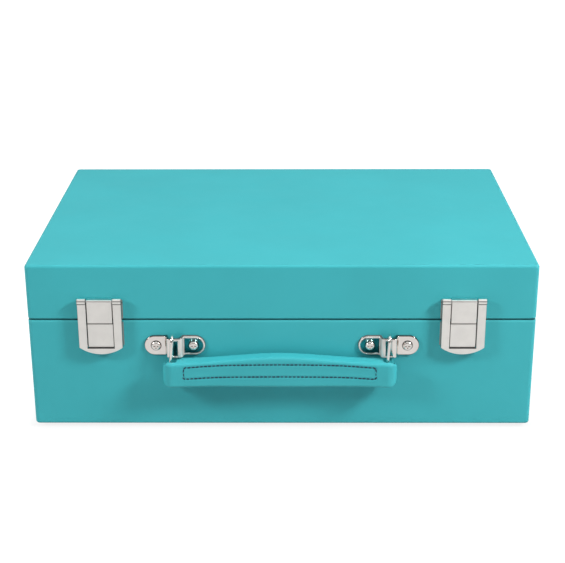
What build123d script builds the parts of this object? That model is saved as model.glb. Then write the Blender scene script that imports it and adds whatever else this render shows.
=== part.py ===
from build123d import *
import os
from math import ceil, cos, radians, sin

# Portable suitcase record player, shown with its lid closed.
# Millimetres. +Z is up, the front with the latches and the handle faces -Y.
# The origin is at the middle of the bounding box, on the surface that the feet stand on.

os.makedirs("parts", exist_ok=True)

# ---------------------------------------------------------------- driving dimensions
# Case
CASE_W = 356.0              # left to right
CASE_D = 250.0              # front to back
CASE_H = 121.0              # underside to top, without the feet
LID_H = 40.0                # from the seam to the top
SEAM_GAP = 0.6
CORNER_R = 3.0              # upright corners
EDGE_R = 2.0                # top and bottom edges
RIM_R = 0.9                 # outer edges along the seam
BASE_WALL = 8.0
LID_WALL = 6.0
LID_TOP = 6.0
PANEL_T = 5.0               # bottom panel
PANEL_GAP = 0.3
BLOCK_W = 12.0              # wooden blocks in the corners of the base
FOOT_H = 3.0
FOOT_R = 6.0
FOOT_BORE_R = 3.6
FOOT_WEB = 1.2
SCREW_R = 1.5
SCREW_HEAD_R = 3.0
SCREW_HEAD_H = 1.4
FOOT_SCREW_L = 18.0
CHAMFER = 0.5

# Lid hinges
HINGE_EDGE = 68.0           # hinge centre in from the side of the case
HINGE_OUT = 2.6             # pin centre behind the rear face
HINGE_DROP = 1.0            # pin centre below the seam
KNUCKLE_R = 2.3
PIN_R = 1.2
FIT = 0.05                  # running fit, on the radius
LEAF_W = 30.0
LEAF_H = 18.0
LEAF_T = 1.2
LEAF_GAP = 0.4              # between a leaf and the knuckles of the other one
KNUCKLE_GAP = 0.3
HINGE_SCREW_PITCH = 18.0
HINGE_SCREW_R = 2.4
HINGE_SCREW_H = 1.1
HINGE_SLOT_L = 2.8

# Latches, heights from the seam
LATCH_EDGE = 51.3           # latch centre in from the side of the case
LATCH_W = 30.7
LATCH_RISE = 17.0           # top above the seam
LATCH_DROP = 19.3           # lower corners below the seam
LATCH_TIP = 5.1             # round lower edge below its corners
LATCH_BAR_RISE = -0.3       # upper edge of the bar from the lower corners
LATCH_LEG_W = 6.0
LATCH_REACH = 6.0           # front of the barrels, out from the case
LATCH_LEG_SET = 0.5         # how far the legs stand back from the barrels
LATCH_LEG_BACK = 1.4
LATCH_BAR_BACK = 4.4
BARREL_R = 2.2
LATCH_PIN_R = 0.8
LATCH_PLATE_W = 31.7
LATCH_PLATE_T = 1.0
LATCH_SPLIT_DROP = 1.3      # joint between the two plates
LATCH_SPLIT_GAP = 0.6
HINGE_PLATE_RISE = 15.0
HINGE_BOSS_W = 17.3
HINGE_BOSS_RISE = 16.0
HINGE_BOSS_REACH = 4.9
HINGE_BOSS_R = 1.4
CATCH_W = 17.9
CATCH_DROP = 20.6           # its foot goes in behind the bar
CATCH_REACH = 4.1
CATCH_PLATE_DROP = 18.7
LATCH_ROUND = 0.7

# Handle brackets, rings and grip, heights from the middle of the brackets
BRACKET_X = 75.2
BRACKET_DROP = 19.0         # middle of the brackets below the seam
BRACKET_L = 43.0
BRACKET_W = 14.6
BRACKET_T = 1.6
LOOP_W = 10.5               # raised loop, across its front
LOOP_SPREAD = 1.2           # how much wider it is at its foot, each side
LOOP_REACH = 7.5
LOOP_T = 1.2
LOOP_ROUND = 2.2            # outer corners of the loop
LOOP_FOOT_R = 1.6           # where the loop rises from its pads
BRACKET_ROUND = 0.8
BRACKET_SCREW_X = 13.2
BRACKET_SCREW_R = 3.3
BRACKET_SCREW_H = 1.9
DRIVE_SLOT_W = 0.9
DRIVE_SLOT_L = 3.6
DRIVE_SLOT_D = 1.0
RING_X = 75.9               # ring centre at its top
RING_SHIFT = 0.4            # both rings sit a little to the left of their brackets
RING_WIRE_R = 1.15
RING_RISE = 10.4
RING_DROP = 28.6
RING_BACK = 2.0             # centre of the rear leg, out from the case
RING_FRONT = 10.6           # centre of the front leg
RING_LEAN = 4.0             # degrees, lower ends to the left
GRIP_X = -1.35
GRIP_L = 164.3
GRIP_END_LOW = 26.0
GRIP_END_TOP = 8.5
GRIP_MID_LOW = 27.2
GRIP_MID_TOP = 5.0
GRIP_FLAT_X = 64.0          # outside this the top edge is level
GRIP_NOTCH = 22.3           # the rear layer is cut away below this, around each ring
GRIP_END_REACH = 17.0
GRIP_END_BACK = 3.6
GRIP_MID_REACH = 13.5
GRIP_MID_BACK = 2.5
GRIP_STRAIGHT = 84.0        # length of the even part in the middle
GRIP_CORNER_R = 3.5
GRIP_BACK_WALL = 2.0        # leather behind the ring's front leg
GRIP_SLOT_L = 8.0
GRIP_SLOT_R = 1.0
GRIP_SLOT_D = 7.0
GRIP_SLOT_X = 76.5

# Deck
DECK_T = 3.0
DECK_DROP = 4.0             # deck surface below the seam
DECK_GAP = 0.3
WELL_DEPTH = 8.0
WELL_FLOOR_T = 2.5
WELL_WALL = 2.0
WELL_GAP = 2.0              # around the platter

# Platter and drive, places from the middle of the case
SPINDLE_RIGHT = 32.75       # to the right, less a share of the inner width
SPINDLE_SHARE = 0.2022
SPINDLE_Y = -8.0
PLATTER_R = 98.0
PLATTER_TOP = 11.0          # platter surface above the deck
PLATTER_DISC_T = 3.0
PLATTER_SKIRT = 16.5
PLATTER_WALL = 2.5
HUB_R = 9.0
HUB_H = 14.0
RING_DRIVE_R = 62.0         # ring that the belt runs on
RING_DRIVE_H = 16.0
MAT_R = 94.0
MAT_T = 2.0
MAT_HOLE_R = 3.8
SPINDLE_R = 3.0
RECORD_PIN_R = 3.6
RECORD_PIN_H = 12.0
RECORD_PIN_DOME = 2.0
BUSH_R = 6.0
BUSH_L = 20.0
BUSH_BASE_T = 2.0
BUSH_FLANGE_R = 10.0
BUSH_FLANGE_T = 2.0
THRUST_GAP = 0.3
PULLEY_R = 5.0
PULLEY_H = 8.0
PULLEY_LIP = 0.8
MOTOR_GAP = 16.0            # drive ring to the middle of the motor
MOTOR_ANGLE = 125.0
MOTOR_R = 12.0
MOTOR_H = 20.0
MOTOR_SHAFT_R = 1.0
MOTOR_SHAFT_DEPTH = 15.0    # shaft inside the motor
MOTOR_PLATE_R = 20.0
MOTOR_PLATE_T = 1.5
MOTOR_BOSS_R = 5.0
GROMMET_R = 4.0
GROMMET_NECK_R = 2.0
GROMMET_H = 3.0
GROMMET_LIP = 1.0
GROMMET_RADIUS = 16.0
MOTOR_HOLE_R = 8.0
BELT_T = 1.0
BELT_H = 4.0
BELT_GAP = 0.3

# Tonearm, pivot place from the middle of the case
PIVOT_ANGLE = 32.57         # degrees, pivot as seen from the spindle
OVERHANG = 14.0             # stylus past the spindle
ARM_PARK = 5.0              # degrees, parked arm turned outwards
ARM_L = 180.0               # pivot to stylus
ARM_AXIS_H = 24.0           # pivot screws above the deck
ARM_TUBE_R = 4.0
ARM_TUBE_WALL = 0.8
ARM_BASE_R = 17.0
ARM_BASE_H = 10.0
ARM_STEM_R = 3.0
ARM_STEM_L = 15.0
ARM_BASE_STEM_R = 5.5
ARM_BASE_STEM_L = 6.0
YOKE_R = 11.0
YOKE_T = 3.0
YOKE_GAP = 0.5
CHEEK_GAP = 0.4
CHEEK_T = 2.5
CHEEK_D = 10.0
CHEEK_TOP = 5.0             # above the pivot screws
PIVOT_SCREW_R = 1.5
PIVOT_SCREW_DEPTH = 2.0
ARM_BLOCK_W = 12.4
ARM_BLOCK_D = 16.0
ARM_BLOCK_H = 9.0
COUNTERWEIGHT_R = 8.5
COUNTERWEIGHT_L = 11.0
COUNTERWEIGHT_GAP = 3.0
SHELL_L = 42.0
SHELL_W = 16.0
SHELL_TIP_W = 12.0
SHELL_H = 7.0
SHELL_WALL = 1.4
SHELL_NOSE = 8.0            # headshell ahead of the stylus
CARTRIDGE_W = 9.0
CARTRIDGE_L = 20.0
CARTRIDGE_H = 7.5
STYLUS_CLEAR = 4.0          # stylus above the mat, parked
STYLUS_W = 3.0
STYLUS_L = 7.0
STYLUS_TIP_R = 0.5
LIFT_R = 22.0               # lift bar from the pivot
LIFT_POST_R = 1.5
LIFT_POST_ANGLE = 15.0
LIFT_ARC_START = 274.0      # the parked arm lies at 270
LIFT_ARC = 56.0
LIFT_BAR_W = 4.0
LIFT_BAR_T = 1.5
LIFT_BAR_GAP = 1.9          # below the arm tube
LIFT_EAR_W = 9.0
LEVER_EAR_W = 5.0
LEVER_EAR_D = 9.0
LEVER_AXIS_H = 7.0
LEVER_L = 20.0
LEVER_T = 2.4
LEVER_W = 4.0
REST_INSET = 42.0           # arm rest in from the stylus
REST_POST_R = 4.5
REST_W = 9.0
REST_SHELF_DROP = 4.0       # below the parked tube
REST_CHEEK_T = 2.6
REST_SIDE_GAP = 0.5
CLIP_T = 1.5
CLIP_RISE = 6.5
CLIP_REACH = 11.5
CLIP_PIN_R = 0.8
CLIP_BARREL_R = 1.5
CLIP_W = 4.0

# Controls on the right of the deck, places from the middle of the case
CONTROL_EDGE = 22.0         # in from the inside of the right wall
VOLUME_Y = 29.0
FUNCTION_Y = 1.0
SPEED_Y = 53.5
AUTOSTOP_Y = 103.0
LAMP_Y = -22.0
LAMP_R = 2.5
LAMP_H = 1.5
KNOB_R = 10.0
KNOB_SKIRT_R = 11.0
KNOB_SKIRT_H = 2.5
KNOB_H = 12.0
KNOB_LIFT = 0.6
KNOB_SHAFT_R = 3.0
KNOB_SHAFT_L = 8.0
KNOB_LINE_W = 1.0
KNOB_LINE_D = 0.6
HOLE_GAP = 0.4
POT_R = 8.0
POT_H = 11.0
SLIDER_W = 7.0
SLIDER_L = 9.0
SLIDER_H = 5.0
SLIDER_STEM_W = 3.0
SLIDER_STEM_L = 4.0
SPEED_TRAVEL = 6.0          # each way
AUTOSTOP_TRAVEL = 2.5
SWITCH_W = 12.0
SWITCH_H = 8.0
SWITCH_END = 4.0
SLIDER_DEPTH = 6.5          # stem below the deck surface

# 45 rpm adapter, place from the middle of the case
ADAPTER_EDGE = 8.0          # in from the inside of the left wall
ADAPTER_Y = 90.0
ADAPTER_R = 19.05
ADAPTER_T = 5.0
ADAPTER_BORE_R = 3.65
ADAPTER_GAP = 0.55
ADAPTER_RECESS = 1.5
ADAPTER_POST_R = 3.2
ADAPTER_WEB_R = 12.0
ADAPTER_STEP = 1.5

# Speakers, places from the middle of the case
SPEAKER_EDGE = 7.0          # in from the inside of the walls
SPEAKER_R = 20.0
SPEAKER_OPENING_R = 17.0
SPEAKER_FLANGE_T = 2.0
SPEAKER_DEPTH = 20.0
BASKET_T = 1.2
BASKET_LOW_R = 10.0
MAGNET_R = 13.5
MAGNET_H = 9.0
CONE_GAP = 1.0
CONE_T = 0.8
CONE_NECK_R = 5.0
GRILLE_R = 20.0
GRILLE_T = 1.2
GRILLE_HOLE_R = 1.1
GRILLE_PITCH = 4.0
GRILLE_RINGS = 4

# Electronics
BOARD_EDGE = 20.0           # in from the inside of the right wall
BOARD_W = 88.0
BOARD_Y = (15.0, 100.0)
BOARD_T = 1.6
BOARD_LIFT = 4.0
POST_R = 3.0
POST_INSET = 6.0
CAPACITOR_R = 5.0
CAPACITOR_H = 14.0
CAPACITOR_PITCH = 12.0
SINK_W = 24.0
SINK_H = 18.0
SINK_T = 1.5
SINK_PITCH = 4.0
SINK_FINS = 4
CHIP_W = 14.0
CHIP_D = 9.0
CHIP_H = 2.0
PLUG_W = 9.0
PLUG_D = 6.0
PLUG_H = 6.0
PLUG_PITCH = 14.0
WIRE_R = 0.9
WIRE_BEND = 4.0
JACK_EDGE = 37.0            # last jack in from the inside of the right wall
JACK_PITCH = 14.0
JACK_COUNT = 5
JACK_NECK = 0.6             # how much slimmer a socket is inside its plate
JACK_H = 34.0               # above the surface that the feet stand on
JACK_WINDOW_W = 70.0
JACK_WINDOW_H = 24.0
JACK_PLATE_EDGE = 5.0
JACK_PLATE_T = 1.5
JACK_BODY_W = 9.0
JACK_BODY_L = 10.0
PHONO_R = 4.15
PHONO_BORE_R = 1.6
PHONO_L = 7.6
MINI_R = 4.0
MINI_BORE_R = 1.8
MINI_L = 2.5
INLET_R = 5.0
INLET_BORE_R = 2.75
INLET_L = 2.5
JACK_BORE_DEPTH = 9.0

# Bumpers in the lid rim
BUMPER_R = 2.2
BUMPER_Y = 80.0
BUMPER_SQUEEZE = 0.1

# ---------------------------------------------------------------- derived places
FRONT_REACH = GRIP_END_REACH
REAR_REACH = HINGE_OUT + KNUCKLE_R
CASE_Y = (FRONT_REACH - REAR_REACH) / 2
FRONT_Y = CASE_Y - CASE_D / 2
REAR_Y = CASE_Y + CASE_D / 2
CASE_Z = FOOT_H
TOP_Z = CASE_Z + CASE_H
SEAM_H = CASE_H - LID_H
SEAM_Z = CASE_Z + SEAM_H
LATCH_X = CASE_W / 2 - LATCH_EDGE
LATCH_TOP_H = SEAM_H + LATCH_RISE
LATCH_CORNER_H = SEAM_H - LATCH_DROP
LATCH_TIP_H = LATCH_CORNER_H - LATCH_TIP
LATCH_BAR_H = LATCH_CORNER_H + LATCH_BAR_RISE
LATCH_SPLIT_H = SEAM_H - LATCH_SPLIT_DROP
HINGE_PLATE_TOP_H = SEAM_H + HINGE_PLATE_RISE
HINGE_BOSS_TOP_H = SEAM_H + HINGE_BOSS_RISE
CATCH_LOW_H = SEAM_H - CATCH_DROP
CATCH_PLATE_LOW_H = SEAM_H - CATCH_PLATE_DROP
BRACKET_H = SEAM_H - BRACKET_DROP
RING_TOP_H = BRACKET_H + RING_RISE
RING_LOW_H = BRACKET_H - RING_DROP
GRIP_END_LOW_H = BRACKET_H - GRIP_END_LOW
GRIP_END_TOP_H = BRACKET_H - GRIP_END_TOP
GRIP_MID_LOW_H = BRACKET_H - GRIP_MID_LOW
GRIP_MID_TOP_H = BRACKET_H - GRIP_MID_TOP
GRIP_NOTCH_H = BRACKET_H - GRIP_NOTCH
BASE_RIM_Z = SEAM_Z - SEAM_GAP / 2
LID_RIM_Z = SEAM_Z + SEAM_GAP / 2
PANEL_TOP_Z = CASE_Z + PANEL_T
DECK_Z = SEAM_Z - DECK_DROP
DECK_LOW_Z = DECK_Z - DECK_T
WELL_Z = DECK_Z - WELL_DEPTH
WELL_LOW_Z = WELL_Z - WELL_FLOOR_T
WELL_R = PLATTER_R + WELL_GAP
PLATTER_Z = DECK_Z + PLATTER_TOP
HUB_Z = PLATTER_Z - HUB_H
MAT_Z = PLATTER_Z + MAT_T
HINGE_X = CASE_W / 2 - HINGE_EDGE
HINGE_Y = REAR_Y + HINGE_OUT
HINGE_Z = SEAM_Z - HINGE_DROP
INNER_W = CASE_W - 2 * BASE_WALL
INNER_D = CASE_D - 2 * BASE_WALL
BLOCK_X = INNER_W / 2 - BLOCK_W / 2
BLOCK_Y = INNER_D / 2 - BLOCK_W / 2
CORNERS = [(sx * BLOCK_X, CASE_Y + sy * BLOCK_Y) for sx in (-1, 1) for sy in (-1, 1)]
FACE = Plane.XZ.offset(-FRONT_Y)            # front face of the case, extrusions come outwards
SPEAKER_X = INNER_W / 2 - SPEAKER_R - SPEAKER_EDGE
SPEAKER_Y = -(INNER_D / 2 - SPEAKER_R - SPEAKER_EDGE)
CONTROL_X = INNER_W / 2 - CONTROL_EDGE
ADAPTER_X = -(INNER_W / 2 - ADAPTER_R - ADAPTER_EDGE)
SPINDLE_X = SPINDLE_RIGHT - INNER_W * SPINDLE_SHARE
PIVOT_X = SPINDLE_X + (ARM_L - OVERHANG) * cos(radians(PIVOT_ANGLE))
PIVOT_Y = SPINDLE_Y + (ARM_L - OVERHANG) * sin(radians(PIVOT_ANGLE))
REST_AT = ARM_L - REST_INSET
BOARD_X = (INNER_W / 2 - BOARD_EDGE - BOARD_W, INNER_W / 2 - BOARD_EDGE)
JACK_XS = [INNER_W / 2 - JACK_EDGE - JACK_PITCH * step for step in reversed(range(JACK_COUNT))]
SPINDLE = (SPINDLE_X, CASE_Y + SPINDLE_Y)
MOTOR_RADIUS = RING_DRIVE_R + MOTOR_GAP
MOTOR = (
    SPINDLE_X + MOTOR_RADIUS * cos(radians(MOTOR_ANGLE)),
    CASE_Y + SPINDLE_Y + MOTOR_RADIUS * sin(radians(MOTOR_ANGLE)),
)
PIVOT = (PIVOT_X, CASE_Y + PIVOT_Y)
ADAPTER = (ADAPTER_X, CASE_Y + ADAPTER_Y)
SPEAKERS = [(sx * SPEAKER_X, CASE_Y + SPEAKER_Y) for sx in (-1, 1)]
ARM_Z = DECK_Z + ARM_AXIS_H


# ---------------------------------------------------------------- shared steps
def span(middle, size):
    """Low and high end of a length centred on a place."""
    return (middle - size / 2, middle + size / 2)


def block(x, y, z, radius=0.0, mode=Mode.ADD):
    """Upright block between three (low, high) spans, with its upright edges rounded."""
    with BuildSketch(Plane.XY.offset(z[0])) as outline:
        with Locations(((x[0] + x[1]) / 2, (y[0] + y[1]) / 2)):
            if radius:
                RectangleRounded(x[1] - x[0], y[1] - y[0], radius)
            else:
                Rectangle(x[1] - x[0], y[1] - y[0])
    extrude(outline.sketch, amount=z[1] - z[0], mode=mode)


def drum(centre, radius, z, mode=Mode.ADD):
    """Upright cylinder."""
    with BuildSketch(Plane.XY.offset(z[0])) as outline:
        with Locations(centre):
            Circle(radius)
    extrude(outline.sketch, amount=z[1] - z[0], mode=mode)


def rod(plane, radius, length, mode=Mode.ADD):
    """Cylinder along the normal of a plane, from its origin."""
    with BuildSketch(plane) as outline:
        Circle(radius)
    extrude(outline.sketch, amount=length, mode=mode)


def along_x(x, y, z):
    """Plane whose normal is +X, at a point."""
    return Plane(origin=(x, y, z), x_dir=(0, 1, 0), z_dir=(1, 0, 0))


def out_of_front(x, height):
    """Plane on the front face whose normal points out of the case."""
    return Plane(origin=(x, FRONT_Y, CASE_Z + height), x_dir=(1, 0, 0), z_dir=(0, -1, 0))


def out_of_rear(x, z, depth=0.0):
    """Plane behind the rear face by minus depth, whose normal points out of the case."""
    return Plane(origin=(x, REAR_Y - depth, z), x_dir=(-1, 0, 0), z_dir=(0, 1, 0))


def turned(centre, profile, mode=Mode.ADD):
    """Body turned about an upright axis, from (radius, height) corners."""
    plane = Plane(origin=(*centre, 0), x_dir=(1, 0, 0), z_dir=(0, -1, 0))
    with BuildSketch(plane) as outline:
        with BuildLine():
            Polyline(*profile, close=True)
        make_face()
    revolve(outline.sketch, axis=Axis((*centre, 0), (0, 0, 1)), mode=mode)


def arm_plane(z, swing=0.0):
    """Horizontal plane at the arm's pivot: -Y runs along the parked arm, or one swung inwards."""
    turn = radians(ARM_PARK - swing)
    return Plane(origin=(*PIVOT, z), x_dir=(cos(turn), sin(turn), 0), z_dir=(0, 0, 1))


def arm_block(x, y, z, mode=Mode.ADD):
    """Block between three spans in the frame of the parked arm, heights in the case's frame."""
    with BuildSketch(arm_plane(z[0])) as outline:
        with Locations(((x[0] + x[1]) / 2, (y[0] + y[1]) / 2)):
            Rectangle(x[1] - x[0], y[1] - y[0])
    extrude(outline.sketch, amount=z[1] - z[0], mode=mode)


def arm_rod(radius, start, length, toward, z=ARM_Z, mode=Mode.ADD):
    """Cylinder in the frame of the parked arm, from a start (x, y) toward a direction (x, y)."""
    base = arm_plane(z)
    origin = base.from_local_coords(Vector(start[0], start[1], 0))
    direction = base.x_dir * toward[0] + base.y_dir * toward[1]
    rod(Plane(origin=origin, z_dir=direction), radius, length, mode)


def save(builder, name):
    """Label a finished piece and write it."""
    builder.part.label = name
    export_step(builder.part, f"parts/{name}.step")


# ---------------------------------------------------------------- case
INNER_X = span(0, INNER_W)
INNER_Y = span(CASE_Y, INNER_D)
JACK_X = (JACK_XS[0] + JACK_XS[-1]) / 2

with BuildPart() as base_shell:
    block(span(0, CASE_W), span(CASE_Y, CASE_D), (CASE_Z, BASE_RIM_Z), CORNER_R)
    fillet(base_shell.faces().sort_by(Axis.Z)[0].edges(), EDGE_R)
    fillet(base_shell.faces().sort_by(Axis.Z)[-1].edges(), RIM_R)
    block(INNER_X, INNER_Y, (CASE_Z, BASE_RIM_Z), mode=Mode.SUBTRACT)
    block(
        span(JACK_X, JACK_WINDOW_W),
        (REAR_Y - BASE_WALL, REAR_Y),
        span(JACK_H, JACK_WINDOW_H),
        mode=Mode.SUBTRACT,
    )
save(base_shell, "base_shell")

with BuildPart() as corner_blocks:
    for corner in CORNERS:
        block(span(corner[0], BLOCK_W), span(corner[1], BLOCK_W), (PANEL_TOP_Z, DECK_LOW_Z))
        drum(corner, SCREW_R, (PANEL_TOP_Z, DECK_LOW_Z), Mode.SUBTRACT)
save(corner_blocks, "corner_blocks")

BOARD_LOW_Z = PANEL_TOP_Z + BOARD_LIFT
BOARD_POSTS = [
    (x, CASE_Y + y)
    for x in (BOARD_X[0] + POST_INSET, BOARD_X[1] - POST_INSET)
    for y in (BOARD_Y[0] + POST_INSET, BOARD_Y[1] - POST_INSET)
]
VENT_L = 40.0
VENT_W = 3.0
VENT_PITCH = 9.0
VENT_COUNT = 5

with BuildPart() as bottom_panel:
    block(
        span(0, INNER_W - 2 * PANEL_GAP),
        span(CASE_Y, INNER_D - 2 * PANEL_GAP),
        (CASE_Z, PANEL_TOP_Z),
    )
    with BuildSketch(Plane.XY.offset(CASE_Z)):
        with Locations((-SPEAKER_X + VENT_L, CASE_Y), (0, CASE_Y)):
            with GridLocations(VENT_PITCH, 0, VENT_COUNT, 1):
                SlotOverall(VENT_L, VENT_W, rotation=90)
        with Locations(CORNERS):
            Circle(SCREW_R)
    extrude(amount=PANEL_T, mode=Mode.SUBTRACT)
    for post in BOARD_POSTS:
        drum(post, POST_R, (PANEL_TOP_Z, BOARD_LOW_Z))
save(bottom_panel, "bottom_panel")

with BuildPart() as rubber_feet:
    for corner in CORNERS:
        turned(corner, [
            (SCREW_R, CASE_Z - FOOT_WEB),
            (FOOT_BORE_R, CASE_Z - FOOT_WEB),
            (FOOT_BORE_R, 0),
            (FOOT_R - CHAMFER, 0),
            (FOOT_R, CHAMFER),
            (FOOT_R, CASE_Z),
            (SCREW_R, CASE_Z),
        ])
save(rubber_feet, "rubber_feet")

with BuildPart() as foot_screws:
    for corner in CORNERS:
        head_z = CASE_Z - FOOT_WEB
        drum(corner, SCREW_HEAD_R, (head_z - SCREW_HEAD_H, head_z))
        drum(corner, SCREW_R, (head_z, head_z + FOOT_SCREW_L))
save(foot_screws, "foot_screws")

with BuildPart() as lid_shell:
    block(span(0, CASE_W), span(CASE_Y, CASE_D), (LID_RIM_Z, TOP_Z), CORNER_R)
    fillet(lid_shell.faces().sort_by(Axis.Z)[-1].edges(), EDGE_R)
    fillet(lid_shell.faces().sort_by(Axis.Z)[0].edges(), RIM_R)
    block(
        span(0, CASE_W - 2 * LID_WALL),
        span(CASE_Y, CASE_D - 2 * LID_WALL),
        (LID_RIM_Z, TOP_Z - LID_TOP),
        mode=Mode.SUBTRACT,
    )
save(lid_shell, "lid_shell")

with BuildPart() as lid_bumpers:
    for side in (-1, 1):
        for y in (CASE_Y - BUMPER_Y, CASE_Y + BUMPER_Y):
            centre = (side * (CASE_W - LID_WALL) / 2, y)
            drum(centre, BUMPER_R, (BASE_RIM_Z + BUMPER_SQUEEZE, LID_RIM_Z))
save(lid_bumpers, "lid_bumpers")


# ---------------------------------------------------------------- lid hinges
HINGE_SIDES = (-1, 1)
KNUCKLE_W = (LEAF_W - 2 * KNUCKLE_GAP) / 3
LEAF_TOP_Z = HINGE_Z - KNUCKLE_R - LEAF_GAP
LEAF_LOW_Z = HINGE_Z + KNUCKLE_R + LEAF_GAP
HINGE_SCREW_Z = LEAF_H / 2


def hinge_screw_places(z):
    """Screw places on one leaf of each hinge."""
    return [
        (side * HINGE_X + offset, z)
        for side in HINGE_SIDES
        for offset in (-HINGE_SCREW_PITCH / 2, HINGE_SCREW_PITCH / 2)
    ]


BASE_LEAF_SCREWS = hinge_screw_places(LEAF_TOP_Z - HINGE_SCREW_Z)
LID_LEAF_SCREWS = hinge_screw_places(LEAF_LOW_Z + HINGE_SCREW_Z)

with BuildPart() as hinge_base_leaves:
    for side in HINGE_SIDES:
        left = side * HINGE_X - LEAF_W / 2
        block(span(side * HINGE_X, LEAF_W), (REAR_Y, REAR_Y + LEAF_T), (LEAF_TOP_Z - LEAF_H, LEAF_TOP_Z))
        for start in (left, left + LEAF_W - KNUCKLE_W):
            block((start, start + KNUCKLE_W), (REAR_Y, REAR_Y + LEAF_T), (LEAF_TOP_Z, HINGE_Z))
            rod(along_x(start, HINGE_Y, HINGE_Z), KNUCKLE_R, KNUCKLE_W)
        rod(along_x(left, HINGE_Y, HINGE_Z), PIN_R, LEAF_W, Mode.SUBTRACT)
    for x, z in BASE_LEAF_SCREWS:
        rod(out_of_rear(x, z), SCREW_R, LEAF_T, Mode.SUBTRACT)
save(hinge_base_leaves, "hinge_base_leaves")

with BuildPart() as hinge_lid_leaves:
    for side in HINGE_SIDES:
        start = side * HINGE_X - KNUCKLE_W / 2
        block(span(side * HINGE_X, LEAF_W), (REAR_Y, REAR_Y + LEAF_T), (LEAF_LOW_Z, LEAF_LOW_Z + LEAF_H))
        block((start, start + KNUCKLE_W), (REAR_Y, REAR_Y + LEAF_T), (LID_RIM_Z, LEAF_LOW_Z))
        rod(along_x(start, HINGE_Y, HINGE_Z), KNUCKLE_R, KNUCKLE_W)
        rod(along_x(start, HINGE_Y, HINGE_Z), PIN_R + FIT, KNUCKLE_W, Mode.SUBTRACT)
    for x, z in LID_LEAF_SCREWS:
        rod(out_of_rear(x, z), SCREW_R, LEAF_T, Mode.SUBTRACT)
save(hinge_lid_leaves, "hinge_lid_leaves")

with BuildPart() as hinge_pins:
    for side in HINGE_SIDES:
        rod(along_x(side * HINGE_X - LEAF_W / 2, HINGE_Y, HINGE_Z), PIN_R, LEAF_W)
save(hinge_pins, "hinge_pins")


def hinge_screw(x, z):
    """Small cross-head screw on a hinge leaf; its shank ends in the leaf."""
    rod(out_of_rear(x, z, -LEAF_T), HINGE_SCREW_R, HINGE_SCREW_H)
    rod(out_of_rear(x, z), SCREW_R, LEAF_T)
    head_y = REAR_Y + LEAF_T + HINGE_SCREW_H
    for width, tall in ((HINGE_SLOT_L, DRIVE_SLOT_W), (DRIVE_SLOT_W, HINGE_SLOT_L)):
        block(span(x, width), (head_y - CHAMFER, head_y), span(z, tall), mode=Mode.SUBTRACT)


with BuildPart() as hinge_base_screws:
    for x, z in BASE_LEAF_SCREWS:
        hinge_screw(x, z)
save(hinge_base_screws, "hinge_base_screws")

with BuildPart() as hinge_lid_screws:
    for x, z in LID_LEAF_SCREWS:
        hinge_screw(x, z)
save(hinge_lid_screws, "hinge_lid_screws")


# ---------------------------------------------------------------- latches
LATCH_SIDES = {"left": -LATCH_X, "right": LATCH_X}
LATCH_AXIS_H = LATCH_TOP_H - BARREL_R
LATCH_AXIS_OUT = LATCH_REACH - BARREL_R
LATCH_AXIS_Y = FRONT_Y - LATCH_AXIS_OUT
LATCH_AXIS_Z = CASE_Z + LATCH_AXIS_H
LATCH_INNER_W = LATCH_W - 2 * LATCH_LEG_W
LEG_FRONT = LATCH_REACH - LATCH_LEG_SET
SPLIT_LOW_H = LATCH_SPLIT_H - LATCH_SPLIT_GAP / 2
SPLIT_TOP_H = LATCH_SPLIT_H + LATCH_SPLIT_GAP / 2
LID_PLATE_LOW_H = LID_RIM_Z - CASE_Z + RIM_R


def front_block(x, heights, out, mode=Mode.ADD):
    """Block on the front face: x span, height span above the underside, span out of the case."""
    block(x, (FRONT_Y - out[1], FRONT_Y - out[0]), (CASE_Z + heights[0], CASE_Z + heights[1]), mode=mode)


with BuildPart() as latch_hinge_plates:
    for x in LATCH_SIDES.values():
        boss = span(x, HINGE_BOSS_W)
        front_block(boss, (SPLIT_TOP_H, HINGE_BOSS_TOP_H), (LATCH_PLATE_T, HINGE_BOSS_REACH))
        front_block(span(x, LATCH_PLATE_W), (LID_PLATE_LOW_H, HINGE_PLATE_TOP_H), (0, LATCH_PLATE_T))
    front_edges = latch_hinge_plates.edges().filter_by(Axis.X).group_by(Axis.Z)[-1].group_by(Axis.Y)[0]
    fillet(front_edges, HINGE_BOSS_R)
    for x in LATCH_SIDES.values():
        rod(along_x(x - LATCH_W / 2, LATCH_AXIS_Y, LATCH_AXIS_Z), LATCH_PIN_R, LATCH_W, Mode.SUBTRACT)
save(latch_hinge_plates, "latch_hinge_plates")

with BuildPart() as latch_pins:
    for x in LATCH_SIDES.values():
        rod(along_x(x - LATCH_W / 2, LATCH_AXIS_Y, LATCH_AXIS_Z), LATCH_PIN_R, LATCH_W)
save(latch_pins, "latch_pins")

with BuildPart() as latch_catch_plates:
    for x in LATCH_SIDES.values():
        front_block(span(x, CATCH_W), (CATCH_LOW_H, SPLIT_LOW_H), (0, CATCH_REACH))
        front_block(span(x, LATCH_PLATE_W), (CATCH_PLATE_LOW_H, SPLIT_LOW_H), (0, LATCH_PLATE_T))
    fillet(latch_catch_plates.edges().filter_by(Axis.X).group_by(Axis.Y)[0], LATCH_ROUND)
save(latch_catch_plates, "latch_catch_plates")

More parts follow.
